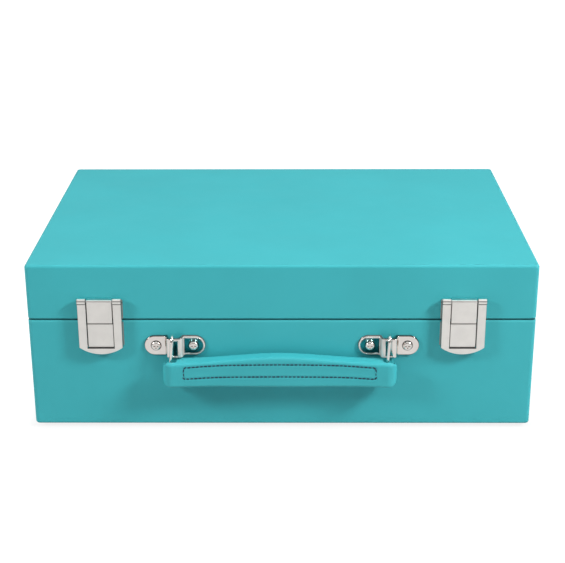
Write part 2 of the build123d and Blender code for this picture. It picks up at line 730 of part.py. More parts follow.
for name, x in LATCH_SIDES.items():
    with BuildPart() as latch_frame:
        with BuildSketch(FACE.offset(LATCH_BAR_BACK)):
            with BuildLine():
                lower_left = (x - LATCH_W / 2, CASE_Z + LATCH_CORNER_H)
                lower_right = (x + LATCH_W / 2, CASE_Z + LATCH_CORNER_H)
                ThreePointArc(lower_left, (x, CASE_Z + LATCH_TIP_H), lower_right)
                Polyline(
                    lower_right,
                    (x + LATCH_W / 2, LATCH_AXIS_Z),
                    (x - LATCH_W / 2, LATCH_AXIS_Z),
                    lower_left,
                )
            make_face()
        extrude(amount=LEG_FRONT - LATCH_BAR_BACK)
        front_block(span(x, LATCH_W), (LATCH_CORNER_H, LATCH_AXIS_H), (LATCH_LEG_BACK, LEG_FRONT))
        rod(along_x(x - LATCH_W / 2, LATCH_AXIS_Y, LATCH_AXIS_Z), BARREL_R, LATCH_W)
        front_block(
            span(x, LATCH_INNER_W),
            (LATCH_BAR_H, LATCH_TOP_H),
            (0, LATCH_REACH),
            mode=Mode.SUBTRACT,
        )
        front_face = latch_frame.faces().filter_by(Axis.Y).sort_by(Axis.Y)[0]
        fillet(front_face.edges().filter_by(Axis.X, reverse=True), LATCH_ROUND)
        rod(along_x(x - LATCH_W / 2, LATCH_AXIS_Y, LATCH_AXIS_Z), LATCH_PIN_R + FIT, LATCH_W, Mode.SUBTRACT)
    save(latch_frame, f"latch_frame_{name}")


# ---------------------------------------------------------------- handle
HANDLE_SIDES = (-1, 1)
BRACKET_SCREWS = [
    (side * BRACKET_X + offset, BRACKET_H)
    for side in HANDLE_SIDES
    for offset in (-BRACKET_SCREW_X, BRACKET_SCREW_X)
]

with BuildPart() as handle_brackets:
    for side in HANDLE_SIDES:
        x = side * BRACKET_X
        foot = LOOP_W / 2 + LOOP_SPREAD
        outer = [
            (-BRACKET_L / 2, 0),
            (-BRACKET_L / 2, BRACKET_T),
            (-foot, BRACKET_T),
            (-LOOP_W / 2, LOOP_REACH),
            (LOOP_W / 2, LOOP_REACH),
            (foot, BRACKET_T),
            (BRACKET_L / 2, BRACKET_T),
            (BRACKET_L / 2, 0),
            (foot - LOOP_T, 0),
            (LOOP_W / 2 - LOOP_T, LOOP_REACH - LOOP_T),
            (LOOP_T - LOOP_W / 2, LOOP_REACH - LOOP_T),
            (LOOP_T - foot, 0),
        ]
        with BuildSketch(Plane.XY.offset(CASE_Z + BRACKET_H - BRACKET_W / 2)) as strip:
            with BuildLine():
                Polyline(*[(x + dx, FRONT_Y - out) for dx, out in outer], close=True)
            make_face()
            fillet(strip.vertices().group_by(Axis.Y)[2].sort_by(Axis.X)[1:3], LOOP_FOOT_R)
            fillet(strip.vertices().group_by(Axis.Y)[1], LOOP_ROUND - LOOP_T)
            fillet(strip.vertices().group_by(Axis.Y)[0], LOOP_ROUND)
        extrude(amount=BRACKET_W)
    with BuildSketch(FACE):
        for side in HANDLE_SIDES:
            with Locations((side * BRACKET_X, CASE_Z + BRACKET_H)):
                SlotOverall(BRACKET_L, BRACKET_W)
    extrude(amount=LOOP_REACH, mode=Mode.INTERSECT)
    pad_faces = handle_brackets.faces().filter_by(Axis.Y).group_by(Axis.Y)[-2]
    rims = [edge for face in pad_faces for edge in face.edges().filter_by(GeomType.CIRCLE)]
    fillet(rims, BRACKET_ROUND)
    for x, height in BRACKET_SCREWS:
        rod(out_of_front(x, height), SCREW_R, BRACKET_T, Mode.SUBTRACT)
save(handle_brackets, "handle_brackets")

with BuildPart() as bracket_screws:
    for x, height in BRACKET_SCREWS:
        rod(out_of_front(x, height), SCREW_R, BRACKET_T)
        rod(out_of_front(x, height).offset(BRACKET_T), BRACKET_SCREW_R, BRACKET_SCREW_H)
    heads = bracket_screws.faces().filter_by(Axis.Y).group_by(Axis.Y)[0]
    fillet(heads.edges(), BRACKET_SCREW_H - CHAMFER)
    head_out = BRACKET_T + BRACKET_SCREW_H
    for x, height in BRACKET_SCREWS:
        for width, tall in ((DRIVE_SLOT_L, DRIVE_SLOT_W), (DRIVE_SLOT_W, DRIVE_SLOT_L)):
            front_block(span(x, width), span(height, tall), (head_out - DRIVE_SLOT_D, head_out), Mode.SUBTRACT)
save(bracket_screws, "bracket_screws")

RING_TURN_R = (RING_FRONT - RING_BACK) / 2
RING_TURN_TOP = -RING_WIRE_R - RING_TURN_R
RING_TURN_LOW = RING_TURN_TOP - (RING_TOP_H - RING_LOW_H - 2 * RING_WIRE_R - 2 * RING_TURN_R)

with BuildPart() as handle_rings:
    for side in HANDLE_SIDES:
        lean = radians(RING_LEAN)
        ring_plane = Plane(
            origin=(side * RING_X - RING_SHIFT, FRONT_Y, CASE_Z + RING_TOP_H),
            x_dir=(0, -1, 0),
            z_dir=(-cos(lean), 0, sin(lean)),
        )
        with BuildLine(ring_plane) as ring_path:
            Line((RING_BACK, RING_TURN_LOW), (RING_BACK, RING_TURN_TOP))
            ThreePointArc(
                (RING_BACK, RING_TURN_TOP),
                (RING_BACK + RING_TURN_R, RING_TURN_TOP + RING_TURN_R),
                (RING_FRONT, RING_TURN_TOP),
            )
            Line((RING_FRONT, RING_TURN_TOP), (RING_FRONT, RING_TURN_LOW))
            ThreePointArc(
                (RING_FRONT, RING_TURN_LOW),
                (RING_BACK + RING_TURN_R, RING_TURN_LOW - RING_TURN_R),
                (RING_BACK, RING_TURN_LOW),
            )
        with BuildSketch(Plane(origin=ring_path.line @ 0, z_dir=ring_path.line % 0)):
            Circle(RING_WIRE_R)
        sweep(path=ring_path.line)
save(handle_rings, "handle_rings")

GRIP_END_R = (GRIP_END_REACH - GRIP_END_BACK) / 2
GRIP_TURN_X = GRIP_L / 2 - GRIP_END_R
GRIP_END_MID = (GRIP_END_REACH + GRIP_END_BACK) / 2
GRIP_BEND_X = (GRIP_TURN_X + GRIP_STRAIGHT / 2) / 2
GRIP_BEND_REACH = GRIP_MID_REACH + (GRIP_END_REACH - GRIP_MID_REACH) / 3


def grip_point(x, out):
    """Point in plan, from the middle of the grip and out of the case."""
    return (GRIP_X + x, FRONT_Y - out)


with BuildPart() as handle_grip:
    with BuildSketch(Plane.XY.offset(CASE_Z + GRIP_MID_LOW_H)):
        with BuildLine():
            for side in HANDLE_SIDES:
                ThreePointArc(
                    grip_point(side * GRIP_TURN_X, GRIP_END_BACK),
                    grip_point(side * GRIP_L / 2, GRIP_END_MID),
                    grip_point(side * GRIP_TURN_X, GRIP_END_REACH),
                )
                ThreePointArc(
                    grip_point(side * GRIP_TURN_X, GRIP_END_REACH),
                    grip_point(side * GRIP_BEND_X, GRIP_BEND_REACH),
                    grip_point(side * GRIP_STRAIGHT / 2, GRIP_MID_REACH),
                )
            Line(grip_point(-GRIP_STRAIGHT / 2, GRIP_MID_REACH), grip_point(GRIP_STRAIGHT / 2, GRIP_MID_REACH))
            Polyline(
                grip_point(-GRIP_TURN_X, GRIP_END_BACK),
                grip_point(-GRIP_STRAIGHT / 2, GRIP_MID_BACK),
                grip_point(GRIP_STRAIGHT / 2, GRIP_MID_BACK),
                grip_point(GRIP_TURN_X, GRIP_END_BACK),
            )
        make_face()
    extrude(amount=GRIP_MID_TOP_H - GRIP_MID_LOW_H)
    with BuildSketch(FACE):
        with BuildLine():
            low_left = (GRIP_X - GRIP_L / 2, CASE_Z + GRIP_END_LOW_H)
            low_right = (GRIP_X + GRIP_L / 2, CASE_Z + GRIP_END_LOW_H)
            top_left = (GRIP_X - GRIP_L / 2, CASE_Z + GRIP_END_TOP_H)
            top_right = (GRIP_X + GRIP_L / 2, CASE_Z + GRIP_END_TOP_H)
            flat_left = (GRIP_X - GRIP_FLAT_X, CASE_Z + GRIP_END_TOP_H)
            flat_right = (GRIP_X + GRIP_FLAT_X, CASE_Z + GRIP_END_TOP_H)
            ThreePointArc(low_left, (GRIP_X, CASE_Z + GRIP_MID_LOW_H), low_right)
            Polyline(low_right, top_right, flat_right)
            Spline(
                flat_right,
                (GRIP_X, CASE_Z + GRIP_MID_TOP_H),
                flat_left,
                tangents=((-1, 0), (-1, 0)),
            )
            Polyline(flat_left, top_left, low_left)
        outline = make_face()
        corners = outline.vertices().group_by(Axis.X)
        fillet(corners[0] + corners[-1], GRIP_CORNER_R)
    extrude(amount=GRIP_END_REACH, mode=Mode.INTERSECT)
    for side in HANDLE_SIDES:
        slot_out = span(GRIP_END_BACK + GRIP_BACK_WALL + GRIP_SLOT_D / 2, GRIP_SLOT_D)
        block(
            span(GRIP_X + side * GRIP_SLOT_X, GRIP_SLOT_L),
            (FRONT_Y - slot_out[1], FRONT_Y - slot_out[0]),
            (CASE_Z + GRIP_MID_LOW_H, CASE_Z + GRIP_MID_TOP_H),
            radius=GRIP_SLOT_R,
            mode=Mode.SUBTRACT,
        )
        block(
            span(GRIP_X + side * GRIP_SLOT_X, GRIP_SLOT_L),
            (FRONT_Y - slot_out[0], FRONT_Y),
            (CASE_Z + GRIP_MID_LOW_H, CASE_Z + GRIP_NOTCH_H),
            mode=Mode.SUBTRACT,
        )
save(handle_grip, "handle_grip")


# ---------------------------------------------------------------- deck
SPEAKER_SCREENS = SPEAKERS
ARM_REST = arm_plane(DECK_Z).from_local_coords(Vector(0, -REST_AT, 0))
KNOB_PLACES = {
    "volume": (CONTROL_X, CASE_Y + VOLUME_Y),
    "function": (CONTROL_X, CASE_Y + FUNCTION_Y),
}
SLIDERS = {
    "speed_selector": ((CONTROL_X, CASE_Y + SPEED_Y), SPEED_TRAVEL),
    "autostop_switch": ((CONTROL_X, CASE_Y + AUTOSTOP_Y), AUTOSTOP_TRAVEL),
}
LAMP = (CONTROL_X, CASE_Y + LAMP_Y)
GROMMETS = [
    (
        MOTOR[0] + GROMMET_RADIUS * cos(radians(MOTOR_ANGLE + turn)),
        MOTOR[1] + GROMMET_RADIUS * sin(radians(MOTOR_ANGLE + turn)),
    )
    for turn in (0, 120, 240)
]

with BuildPart() as deck_plate:
    block(
        span(0, INNER_W - 2 * DECK_GAP),
        span(CASE_Y, INNER_D - 2 * DECK_GAP),
        (DECK_LOW_Z, DECK_Z),
    )
    drum(SPINDLE, WELL_R + WELL_WALL, (WELL_LOW_Z, DECK_Z))
    drum(SPINDLE, WELL_R, (WELL_Z, DECK_Z), Mode.SUBTRACT)
    drum(SPINDLE, BUSH_R, (WELL_LOW_Z, WELL_Z), Mode.SUBTRACT)
    drum(MOTOR, MOTOR_HOLE_R, (WELL_LOW_Z, WELL_Z), Mode.SUBTRACT)
    for grommet in GROMMETS:
        drum(grommet, GROMMET_NECK_R, (WELL_LOW_Z, WELL_Z), Mode.SUBTRACT)
    for speaker in SPEAKERS:
        drum(speaker, SPEAKER_OPENING_R, (DECK_LOW_Z, DECK_Z), Mode.SUBTRACT)
    for corner in CORNERS:
        drum(corner, SCREW_R, (DECK_LOW_Z, DECK_Z), Mode.SUBTRACT)
    drum(PIVOT, ARM_BASE_STEM_R, (DECK_LOW_Z, DECK_Z), Mode.SUBTRACT)
    for place in KNOB_PLACES.values():
        drum(place, KNOB_SHAFT_R + HOLE_GAP, (DECK_LOW_Z, DECK_Z), Mode.SUBTRACT)
    for place, travel in SLIDERS.values():
        length = SLIDER_STEM_L + 2 * (travel + HOLE_GAP)
        width = SLIDER_STEM_W + 2 * HOLE_GAP
        block(span(place[0], width), span(place[1], length), (DECK_LOW_Z, DECK_Z), mode=Mode.SUBTRACT)
    drum(LAMP, LAMP_R, (DECK_LOW_Z, DECK_Z), Mode.SUBTRACT)
    drum(ADAPTER, ADAPTER_R + ADAPTER_GAP, (DECK_Z - ADAPTER_RECESS, DECK_Z), Mode.SUBTRACT)
    drum(ADAPTER, ADAPTER_POST_R, (DECK_Z - ADAPTER_RECESS, DECK_Z + ADAPTER_T))
save(deck_plate, "deck_plate")

with BuildPart() as deck_screws:
    for corner in CORNERS:
        drum(corner, SCREW_HEAD_R, (DECK_Z, DECK_Z + SCREW_HEAD_H))
        drum(corner, SCREW_R, (DECK_Z - FOOT_SCREW_L, DECK_Z))
    fillet(deck_screws.faces().group_by(Axis.Z)[-1].edges(), CHAMFER)
    for corner in CORNERS:
        slot_z = (DECK_Z + SCREW_HEAD_H - CHAMFER, DECK_Z + SCREW_HEAD_H)
        block(span(corner[0], DRIVE_SLOT_L), span(corner[1], DRIVE_SLOT_W), slot_z, mode=Mode.SUBTRACT)
        block(span(corner[0], DRIVE_SLOT_W), span(corner[1], DRIVE_SLOT_L), slot_z, mode=Mode.SUBTRACT)
save(deck_screws, "deck_screws")

with BuildPart() as power_lamp:
    drum(LAMP, LAMP_R, (DECK_LOW_Z, DECK_Z + LAMP_H))
    fillet(power_lamp.faces().sort_by(Axis.Z)[-1].edges(), LAMP_H - CHAMFER)
save(power_lamp, "power_lamp")


# ---------------------------------------------------------------- speakers
SPEAKER_TOP_Z = DECK_LOW_Z
FLANGE_Z = SPEAKER_TOP_Z - SPEAKER_FLANGE_T
BASKET_Z = SPEAKER_TOP_Z - SPEAKER_DEPTH

with BuildPart() as speaker_grilles:
    for speaker in SPEAKERS:
        drum(speaker, GRILLE_R, (DECK_Z, DECK_Z + GRILLE_T))
    with BuildSketch(Plane.XY.offset(DECK_Z)) as perforation:
        for speaker in SPEAKERS:
            with Locations(speaker):
                Circle(GRILLE_HOLE_R)
                for ring in range(1, GRILLE_RINGS + 1):
                    with PolarLocations(ring * GRILLE_PITCH, 6 * ring):
                        Circle(GRILLE_HOLE_R)
    extrude(amount=GRILLE_T, mode=Mode.SUBTRACT)
save(speaker_grilles, "speaker_grilles")

with BuildPart() as speaker_frames:
    for speaker in SPEAKERS:
        turned(speaker, [
            (SPEAKER_OPENING_R, SPEAKER_TOP_Z),
            (SPEAKER_R, SPEAKER_TOP_Z),
            (SPEAKER_R, FLANGE_Z),
            (SPEAKER_OPENING_R + BASKET_T, FLANGE_Z),
            (BASKET_LOW_R + BASKET_T, BASKET_Z),
            (0, BASKET_Z),
            (0, BASKET_Z + BASKET_T),
            (BASKET_LOW_R, BASKET_Z + BASKET_T),
            (SPEAKER_OPENING_R, FLANGE_Z),
        ])
save(speaker_frames, "speaker_frames")

CONE_LOW_Z = BASKET_Z + 2 * BASKET_T

with BuildPart() as speaker_cones:
    for speaker in SPEAKERS:
        turned(speaker, [
            (0, CONE_LOW_Z),
            (CONE_NECK_R, CONE_LOW_Z),
            (SPEAKER_OPENING_R - CONE_GAP, FLANGE_Z - CONE_T),
            (SPEAKER_OPENING_R, FLANGE_Z),
            (SPEAKER_OPENING_R, SPEAKER_TOP_Z),
            (SPEAKER_OPENING_R - CONE_GAP, SPEAKER_TOP_Z),
            (SPEAKER_OPENING_R - 2 * CONE_GAP, FLANGE_Z),
            (CONE_NECK_R, CONE_LOW_Z + CONE_T),
            (0, CONE_LOW_Z + CONE_T + CONE_GAP),
        ])
save(speaker_cones, "speaker_cones")

with BuildPart() as speaker_magnets:
    for speaker in SPEAKERS:
        drum(speaker, MAGNET_R, (BASKET_Z - MAGNET_H, BASKET_Z))
    fillet(speaker_magnets.faces().group_by(Axis.Z)[0].edges(), CHAMFER)
save(speaker_magnets, "speaker_magnets")


# ---------------------------------------------------------------- platter and drive
DISC_LOW_Z = PLATTER_Z - PLATTER_DISC_T
SKIRT_LOW_Z = PLATTER_Z - PLATTER_SKIRT
DRIVE_RING_LOW_Z = PLATTER_Z - RING_DRIVE_H
BUSH_TOP_Z = HUB_Z - THRUST_GAP
BUSH_LOW_Z = BUSH_TOP_Z - BUSH_L
BELT_Z = (DRIVE_RING_LOW_Z + DISC_LOW_Z) / 2
PULLEY_LOW_Z = BELT_Z - PULLEY_H / 2

with BuildPart() as platter:
    turned(SPINDLE, [
        (SPINDLE_R, HUB_Z),
        (HUB_R, HUB_Z),
        (HUB_R, DISC_LOW_Z),
        (RING_DRIVE_R - PLATTER_WALL, DISC_LOW_Z),
        (RING_DRIVE_R - PLATTER_WALL, DRIVE_RING_LOW_Z),
        (RING_DRIVE_R, DRIVE_RING_LOW_Z),
        (RING_DRIVE_R, DISC_LOW_Z),
        (PLATTER_R - PLATTER_WALL, DISC_LOW_Z),
        (PLATTER_R - PLATTER_WALL, SKIRT_LOW_Z),
        (PLATTER_R, SKIRT_LOW_Z),
        (PLATTER_R, PLATTER_Z - CHAMFER),
        (PLATTER_R - CHAMFER, PLATTER_Z),
        (SPINDLE_R, PLATTER_Z),
    ])
save(platter, "platter")

with BuildPart() as slipmat:
    drum(SPINDLE, MAT_R, (PLATTER_Z, MAT_Z))
    drum(SPINDLE, MAT_HOLE_R, (PLATTER_Z, MAT_Z), Mode.SUBTRACT)
save(slipmat, "slipmat")

with BuildPart() as spindle:
    pin_z = MAT_Z + RECORD_PIN_H
    turned(SPINDLE, [
        (0, BUSH_LOW_Z + BUSH_BASE_T + THRUST_GAP),
        (SPINDLE_R, BUSH_LOW_Z + BUSH_BASE_T + THRUST_GAP),
        (SPINDLE_R, MAT_Z),
        (RECORD_PIN_R, MAT_Z),
        (RECORD_PIN_R, pin_z - RECORD_PIN_DOME),
        (RECORD_PIN_R / 2, pin_z - CHAMFER),
        (0, pin_z),
    ])
save(spindle, "spindle")

with BuildPart() as spindle_bearing:
    turned(SPINDLE, [
        (0, BUSH_LOW_Z),
        (BUSH_R, BUSH_LOW_Z),
        (BUSH_R, WELL_Z),
        (BUSH_FLANGE_R, WELL_Z),
        (BUSH_FLANGE_R, WELL_Z + BUSH_FLANGE_T),
        (BUSH_R, WELL_Z + BUSH_FLANGE_T),
        (BUSH_R, BUSH_TOP_Z),
        (SPINDLE_R + FIT, BUSH_TOP_Z),
        (SPINDLE_R + FIT, BUSH_LOW_Z + BUSH_BASE_T),
        (0, BUSH_LOW_Z + BUSH_BASE_T),
    ])
save(spindle_bearing, "spindle_bearing")

with BuildPart() as drive_belt:
    with BuildSketch(Plane.XY.offset(BELT_Z - BELT_H / 2)):
        for grown, mode in ((BELT_GAP + BELT_T, Mode.ADD), (BELT_GAP, Mode.SUBTRACT)):
            around_ring = Edge.make_circle(RING_DRIVE_R + grown, Plane(origin=(*SPINDLE, 0)))
            around_pulley = Edge.make_circle(PULLEY_R + grown, Plane(origin=(*MOTOR, 0)))
            make_hull([around_ring, around_pulley], mode=mode)
    extrude(amount=BELT_H)
save(drive_belt, "drive_belt")

MOTOR_TOP_Z = WELL_LOW_Z - GROMMET_H - MOTOR_PLATE_T
MOTOR_PLATE_TOP_Z = MOTOR_TOP_Z + MOTOR_PLATE_T

with BuildPart() as motor_can:
    drum(MOTOR, MOTOR_R, (MOTOR_TOP_Z - MOTOR_H, MOTOR_TOP_Z))
    fillet(motor_can.faces().sort_by(Axis.Z)[0].edges(), CHAMFER)
    drum(MOTOR, MOTOR_BOSS_R, (MOTOR_TOP_Z, MOTOR_PLATE_TOP_Z))
    drum(MOTOR, MOTOR_SHAFT_R + FIT, (MOTOR_TOP_Z - MOTOR_SHAFT_DEPTH, MOTOR_PLATE_TOP_Z), Mode.SUBTRACT)
save(motor_can, "motor_can")

with BuildPart() as motor_bracket:
    drum(MOTOR, MOTOR_PLATE_R, (MOTOR_TOP_Z, MOTOR_PLATE_TOP_Z))
    drum(MOTOR, MOTOR_BOSS_R, (MOTOR_TOP_Z, MOTOR_PLATE_TOP_Z), Mode.SUBTRACT)
    for grommet in GROMMETS:
        drum(grommet, GROMMET_NECK_R, (MOTOR_TOP_Z, MOTOR_PLATE_TOP_Z), Mode.SUBTRACT)
save(motor_bracket, "motor_bracket")

with BuildPart() as motor_grommets:
    for grommet in GROMMETS:
        drum(grommet, GROMMET_R, (MOTOR_PLATE_TOP_Z, WELL_LOW_Z))
        drum(grommet, GROMMET_NECK_R, (MOTOR_TOP_Z, WELL_Z))
        drum(grommet, GROMMET_R, (MOTOR_TOP_Z - GROMMET_LIP, MOTOR_TOP_Z))
        drum(grommet, GROMMET_R, (WELL_Z, WELL_Z + GROMMET_LIP))
save(motor_grommets, "motor_grommets")

with BuildPart() as motor_pulley:
    groove = PULLEY_R - PULLEY_LIP / 2
    turned(MOTOR, [
        (0, MOTOR_TOP_Z - MOTOR_SHAFT_DEPTH + THRUST_GAP),
        (MOTOR_SHAFT_R, MOTOR_TOP_Z - MOTOR_SHAFT_DEPTH + THRUST_GAP),
        (MOTOR_SHAFT_R, PULLEY_LOW_Z),
        (PULLEY_R + PULLEY_LIP, PULLEY_LOW_Z),
        (PULLEY_R + PULLEY_LIP, BELT_Z - BELT_H / 2 - BELT_GAP),
        (PULLEY_R, BELT_Z - BELT_H / 2 - BELT_GAP),
        (PULLEY_R, BELT_Z + BELT_H / 2 + BELT_GAP),
        (PULLEY_R + PULLEY_LIP, BELT_Z + BELT_H / 2 + BELT_GAP),
        (PULLEY_R + PULLEY_LIP, PULLEY_LOW_Z + PULLEY_H),
        (0, PULLEY_LOW_Z + PULLEY_H),
    ])
save(motor_pulley, "motor_pulley")


# ---------------------------------------------------------------- tonearm
ARM_BASE_TOP_Z = DECK_Z + ARM_BASE_H
YOKE_Z = ARM_BASE_TOP_Z + YOKE_GAP
YOKE_TOP_Z = YOKE_Z + YOKE_T
LIFT_POST = arm_plane(0, LIFT_POST_ANGLE).from_local_coords(Vector(0, -LIFT_R, 0))
LIFT_POST_XY = (LIFT_POST.X, LIFT_POST.Y)
LEVER_X = ARM_BASE_R + LEVER_EAR_W
LEVER_Z = DECK_Z + LEVER_AXIS_H
BLOCK_HALF = ARM_BLOCK_W / 2
CHEEK_X = (BLOCK_HALF + CHEEK_GAP, BLOCK_HALF + CHEEK_GAP + CHEEK_T)

with BuildPart() as tonearm_base:
    drum(PIVOT, ARM_BASE_R, (DECK_Z, ARM_BASE_TOP_Z))
    fillet(tonearm_base.faces().sort_by(Axis.Z)[-1].edges(), CHAMFER)
    drum(PIVOT, ARM_BASE_STEM_R, (DECK_Z - ARM_BASE_STEM_L, DECK_Z))
    with BuildSketch(arm_plane(DECK_Z, LIFT_POST_ANGLE)):
        SlotCenterToCenter(2 * LIFT_R, LIFT_EAR_W, rotation=90)
        with Locations((0, LIFT_R)):
            Rectangle(2 * LIFT_EAR_W, 2 * LIFT_R, mode=Mode.SUBTRACT)
    extrude(amount=ARM_BASE_H - CHAMFER)
    arm_block((0, LEVER_X), span(0, LEVER_EAR_D), (DECK_Z, ARM_BASE_TOP_Z - CHAMFER))
    drum(PIVOT, ARM_STEM_R + FIT, (DECK_Z - ARM_BASE_STEM_L, ARM_BASE_TOP_Z), Mode.SUBTRACT)
    drum(LIFT_POST_XY, LIFT_POST_R + FIT, (DECK_Z, ARM_BASE_TOP_Z), Mode.SUBTRACT)
    arm_rod(LIFT_POST_R + FIT, (ARM_BASE_R, 0), LEVER_EAR_W, (1, 0), LEVER_Z, Mode.SUBTRACT)
save(tonearm_base, "tonearm_base")

with BuildPart() as tonearm_gimbal:
    drum(PIVOT, ARM_STEM_R, (YOKE_Z - ARM_STEM_L, YOKE_Z))
    drum(PIVOT, YOKE_R, (YOKE_Z, YOKE_TOP_Z))
    for side in (-1, 1):
        cheek = sorted((side * CHEEK_X[0], side * CHEEK_X[1]))
        arm_block(cheek, span(0, CHEEK_D), (YOKE_Z, ARM_Z + CHEEK_TOP))
        arm_rod(PIVOT_SCREW_R, (side * CHEEK_X[0], 0), CHEEK_T, (side, 0), mode=Mode.SUBTRACT)
save(tonearm_gimbal, "tonearm_gimbal")

with BuildPart() as pivot_screws:
    for side in (-1, 1):
        start = side * (BLOCK_HALF - PIVOT_SCREW_DEPTH)
        arm_rod(PIVOT_SCREW_R, (start, 0), CHEEK_X[1] - BLOCK_HALF + PIVOT_SCREW_DEPTH, (side, 0))
        arm_rod(HINGE_SCREW_R, (side * CHEEK_X[1], 0), HINGE_SCREW_H, (side, 0))
save(pivot_screws, "pivot_screws")

SHELL_FRONT = ARM_L + SHELL_NOSE
SHELL_REAR = SHELL_FRONT - SHELL_L
TUBE_L = SHELL_REAR + SHELL_WALL
STUB_END = ARM_BLOCK_D / 2 + COUNTERWEIGHT_GAP + COUNTERWEIGHT_L

with BuildPart() as tonearm_tube:
    arm_block(span(0, ARM_BLOCK_W), span(0, ARM_BLOCK_D), span(ARM_Z, ARM_BLOCK_H))
    arm_rod(ARM_TUBE_R, (0, 0), TUBE_L, (0, -1))
    arm_rod(ARM_TUBE_R - ARM_TUBE_WALL, (0, -ARM_BLOCK_D), TUBE_L - ARM_BLOCK_D, (0, -1), mode=Mode.SUBTRACT)
    arm_rod(ARM_TUBE_R, (0, 0), STUB_END, (0, 1))
    for side in (-1, 1):
        start = side * (BLOCK_HALF - PIVOT_SCREW_DEPTH - FIT)
        arm_rod(PIVOT_SCREW_R + FIT, (start, 0), PIVOT_SCREW_DEPTH + 2 * FIT, (side, 0), mode=Mode.SUBTRACT)
save(tonearm_tube, "tonearm_tube")

with BuildPart() as counterweight:
    arm_rod(COUNTERWEIGHT_R, (0, ARM_BLOCK_D / 2 + COUNTERWEIGHT_GAP), COUNTERWEIGHT_L, (0, 1))
    fillet(counterweight.edges(), CHAMFER)
    arm_rod(ARM_TUBE_R, (0, ARM_BLOCK_D / 2), COUNTERWEIGHT_GAP + COUNTERWEIGHT_L, (0, 1), mode=Mode.SUBTRACT)
save(counterweight, "counterweight")

SHELL_TOP_Z = ARM_Z + ARM_TUBE_R
SHELL_LOW_Z = SHELL_TOP_Z - SHELL_H
STYLUS_Z = MAT_Z + STYLUS_CLEAR


def shell_corners(inset):
    """Tapered plan of the headshell, drawn in by a wall, narrower at the nose."""
    rear = SHELL_W / 2 - inset
    tip = SHELL_TIP_W / 2 - inset
    return [
        (-rear, -SHELL_REAR - inset),
        (-tip, -SHELL_FRONT + inset),
        (tip, -SHELL_FRONT + inset),
        (rear, -SHELL_REAR - inset),
    ]


with BuildPart() as headshell:
    with BuildSketch(arm_plane(SHELL_LOW_Z)):
        Polygon(*shell_corners(0), align=None)
    extrude(amount=SHELL_H)
    fillet(headshell.edges().filter_by(Axis.Z), CHAMFER)
    fillet(headshell.faces().sort_by(Axis.Z)[-1].edges(), CHAMFER)
    with BuildSketch(arm_plane(SHELL_LOW_Z)):
        Polygon(*shell_corners(SHELL_WALL), align=None)
    extrude(amount=SHELL_H - SHELL_WALL, mode=Mode.SUBTRACT)
    arm_rod(ARM_TUBE_R, (0, -SHELL_REAR), SHELL_WALL, (0, -1), mode=Mode.SUBTRACT)
    finger = sorted((-ARM_L + SHELL_NOSE / 2, -ARM_L - SHELL_NOSE / 2))
    arm_block((SHELL_TIP_W / 2 - SHELL_WALL, SHELL_W), finger, (SHELL_LOW_Z, SHELL_LOW_Z + SHELL_WALL))
save(headshell, "headshell")

CARTRIDGE_TOP_Z = SHELL_TOP_Z - SHELL_WALL
CARTRIDGE_LOW_Z = CARTRIDGE_TOP_Z - CARTRIDGE_H
CARTRIDGE_Y = span(-ARM_L + STYLUS_L / 2, CARTRIDGE_L)

with BuildPart() as cartridge:
    arm_block(span(0, CARTRIDGE_W), CARTRIDGE_Y, (CARTRIDGE_LOW_Z, CARTRIDGE_TOP_Z))
    fillet(cartridge.faces().sort_by(Axis.Z)[0].edges(), CHAMFER)
save(cartridge, "cartridge")

with BuildPart() as stylus:
    tip_room = CARTRIDGE_LOW_Z - STYLUS_Z
    arm_block(
        span(0, STYLUS_W),
        (-ARM_L - STYLUS_TIP_R, -ARM_L - STYLUS_TIP_R + STYLUS_L),
        (CARTRIDGE_LOW_Z - tip_room / 2, CARTRIDGE_LOW_Z),
    )
    with BuildSketch(arm_plane(CARTRIDGE_LOW_Z - tip_room / 2)):
        with Locations((0, -ARM_L)):
            Circle(STYLUS_TIP_R)
    extrude(amount=-tip_room / 2, taper=STYLUS_TIP_R * 20)
save(stylus, "stylus")

with BuildPart() as lift_bar:
    bar_top_z = ARM_Z - ARM_TUBE_R - LIFT_BAR_GAP
    bar_z = bar_top_z - LIFT_BAR_T
    drum(LIFT_POST_XY, LIFT_POST_R, (DECK_Z + CHAMFER, bar_z))
    with BuildSketch(arm_plane(bar_z)):
        with BuildLine() as bar_line:
            CenterArc((0, 0), LIFT_R, LIFT_ARC_START, -LIFT_ARC)
        SlotArc(bar_line.edge(), LIFT_BAR_W)
    extrude(amount=LIFT_BAR_T)
save(lift_bar, "lift_bar")

with BuildPart() as cue_lever:
    shaft_start = ARM_BASE_R + KNUCKLE_GAP
    arm_rod(LIFT_POST_R, (shaft_start, 0), LEVER_X - shaft_start + LEVER_T, (1, 0), LEVER_Z)
    lever_x = (LEVER_X + KNUCKLE_GAP, LEVER_X + KNUCKLE_GAP + LEVER_T)
    arm_block(lever_x, (-LEVER_L, LEVER_W / 2), span(LEVER_Z, LEVER_W))
    arm_rod(LEVER_W / 2, (lever_x[0], -LEVER_L), 2 * LEVER_T, (1, 0), LEVER_Z)
save(cue_lever, "cue_lever")

REST_SHELF_Z = ARM_Z - ARM_TUBE_R - REST_SHELF_DROP
REST_SIDE = ARM_TUBE_R + REST_SIDE_GAP
REST_CHEEK = (REST_SIDE, REST_SIDE + REST_CHEEK_T)
REST_Y = span(-REST_AT, REST_W)
CLIP_X = REST_CHEEK[1] + KNUCKLE_GAP + CLIP_BARREL_R
CLIP_Y = span(-REST_AT, CLIP_W)
CLIP_EARS = (
    (REST_Y[0], CLIP_Y[0] - KNUCKLE_GAP),
    (CLIP_Y[1] + KNUCKLE_GAP, REST_Y[1]),
)

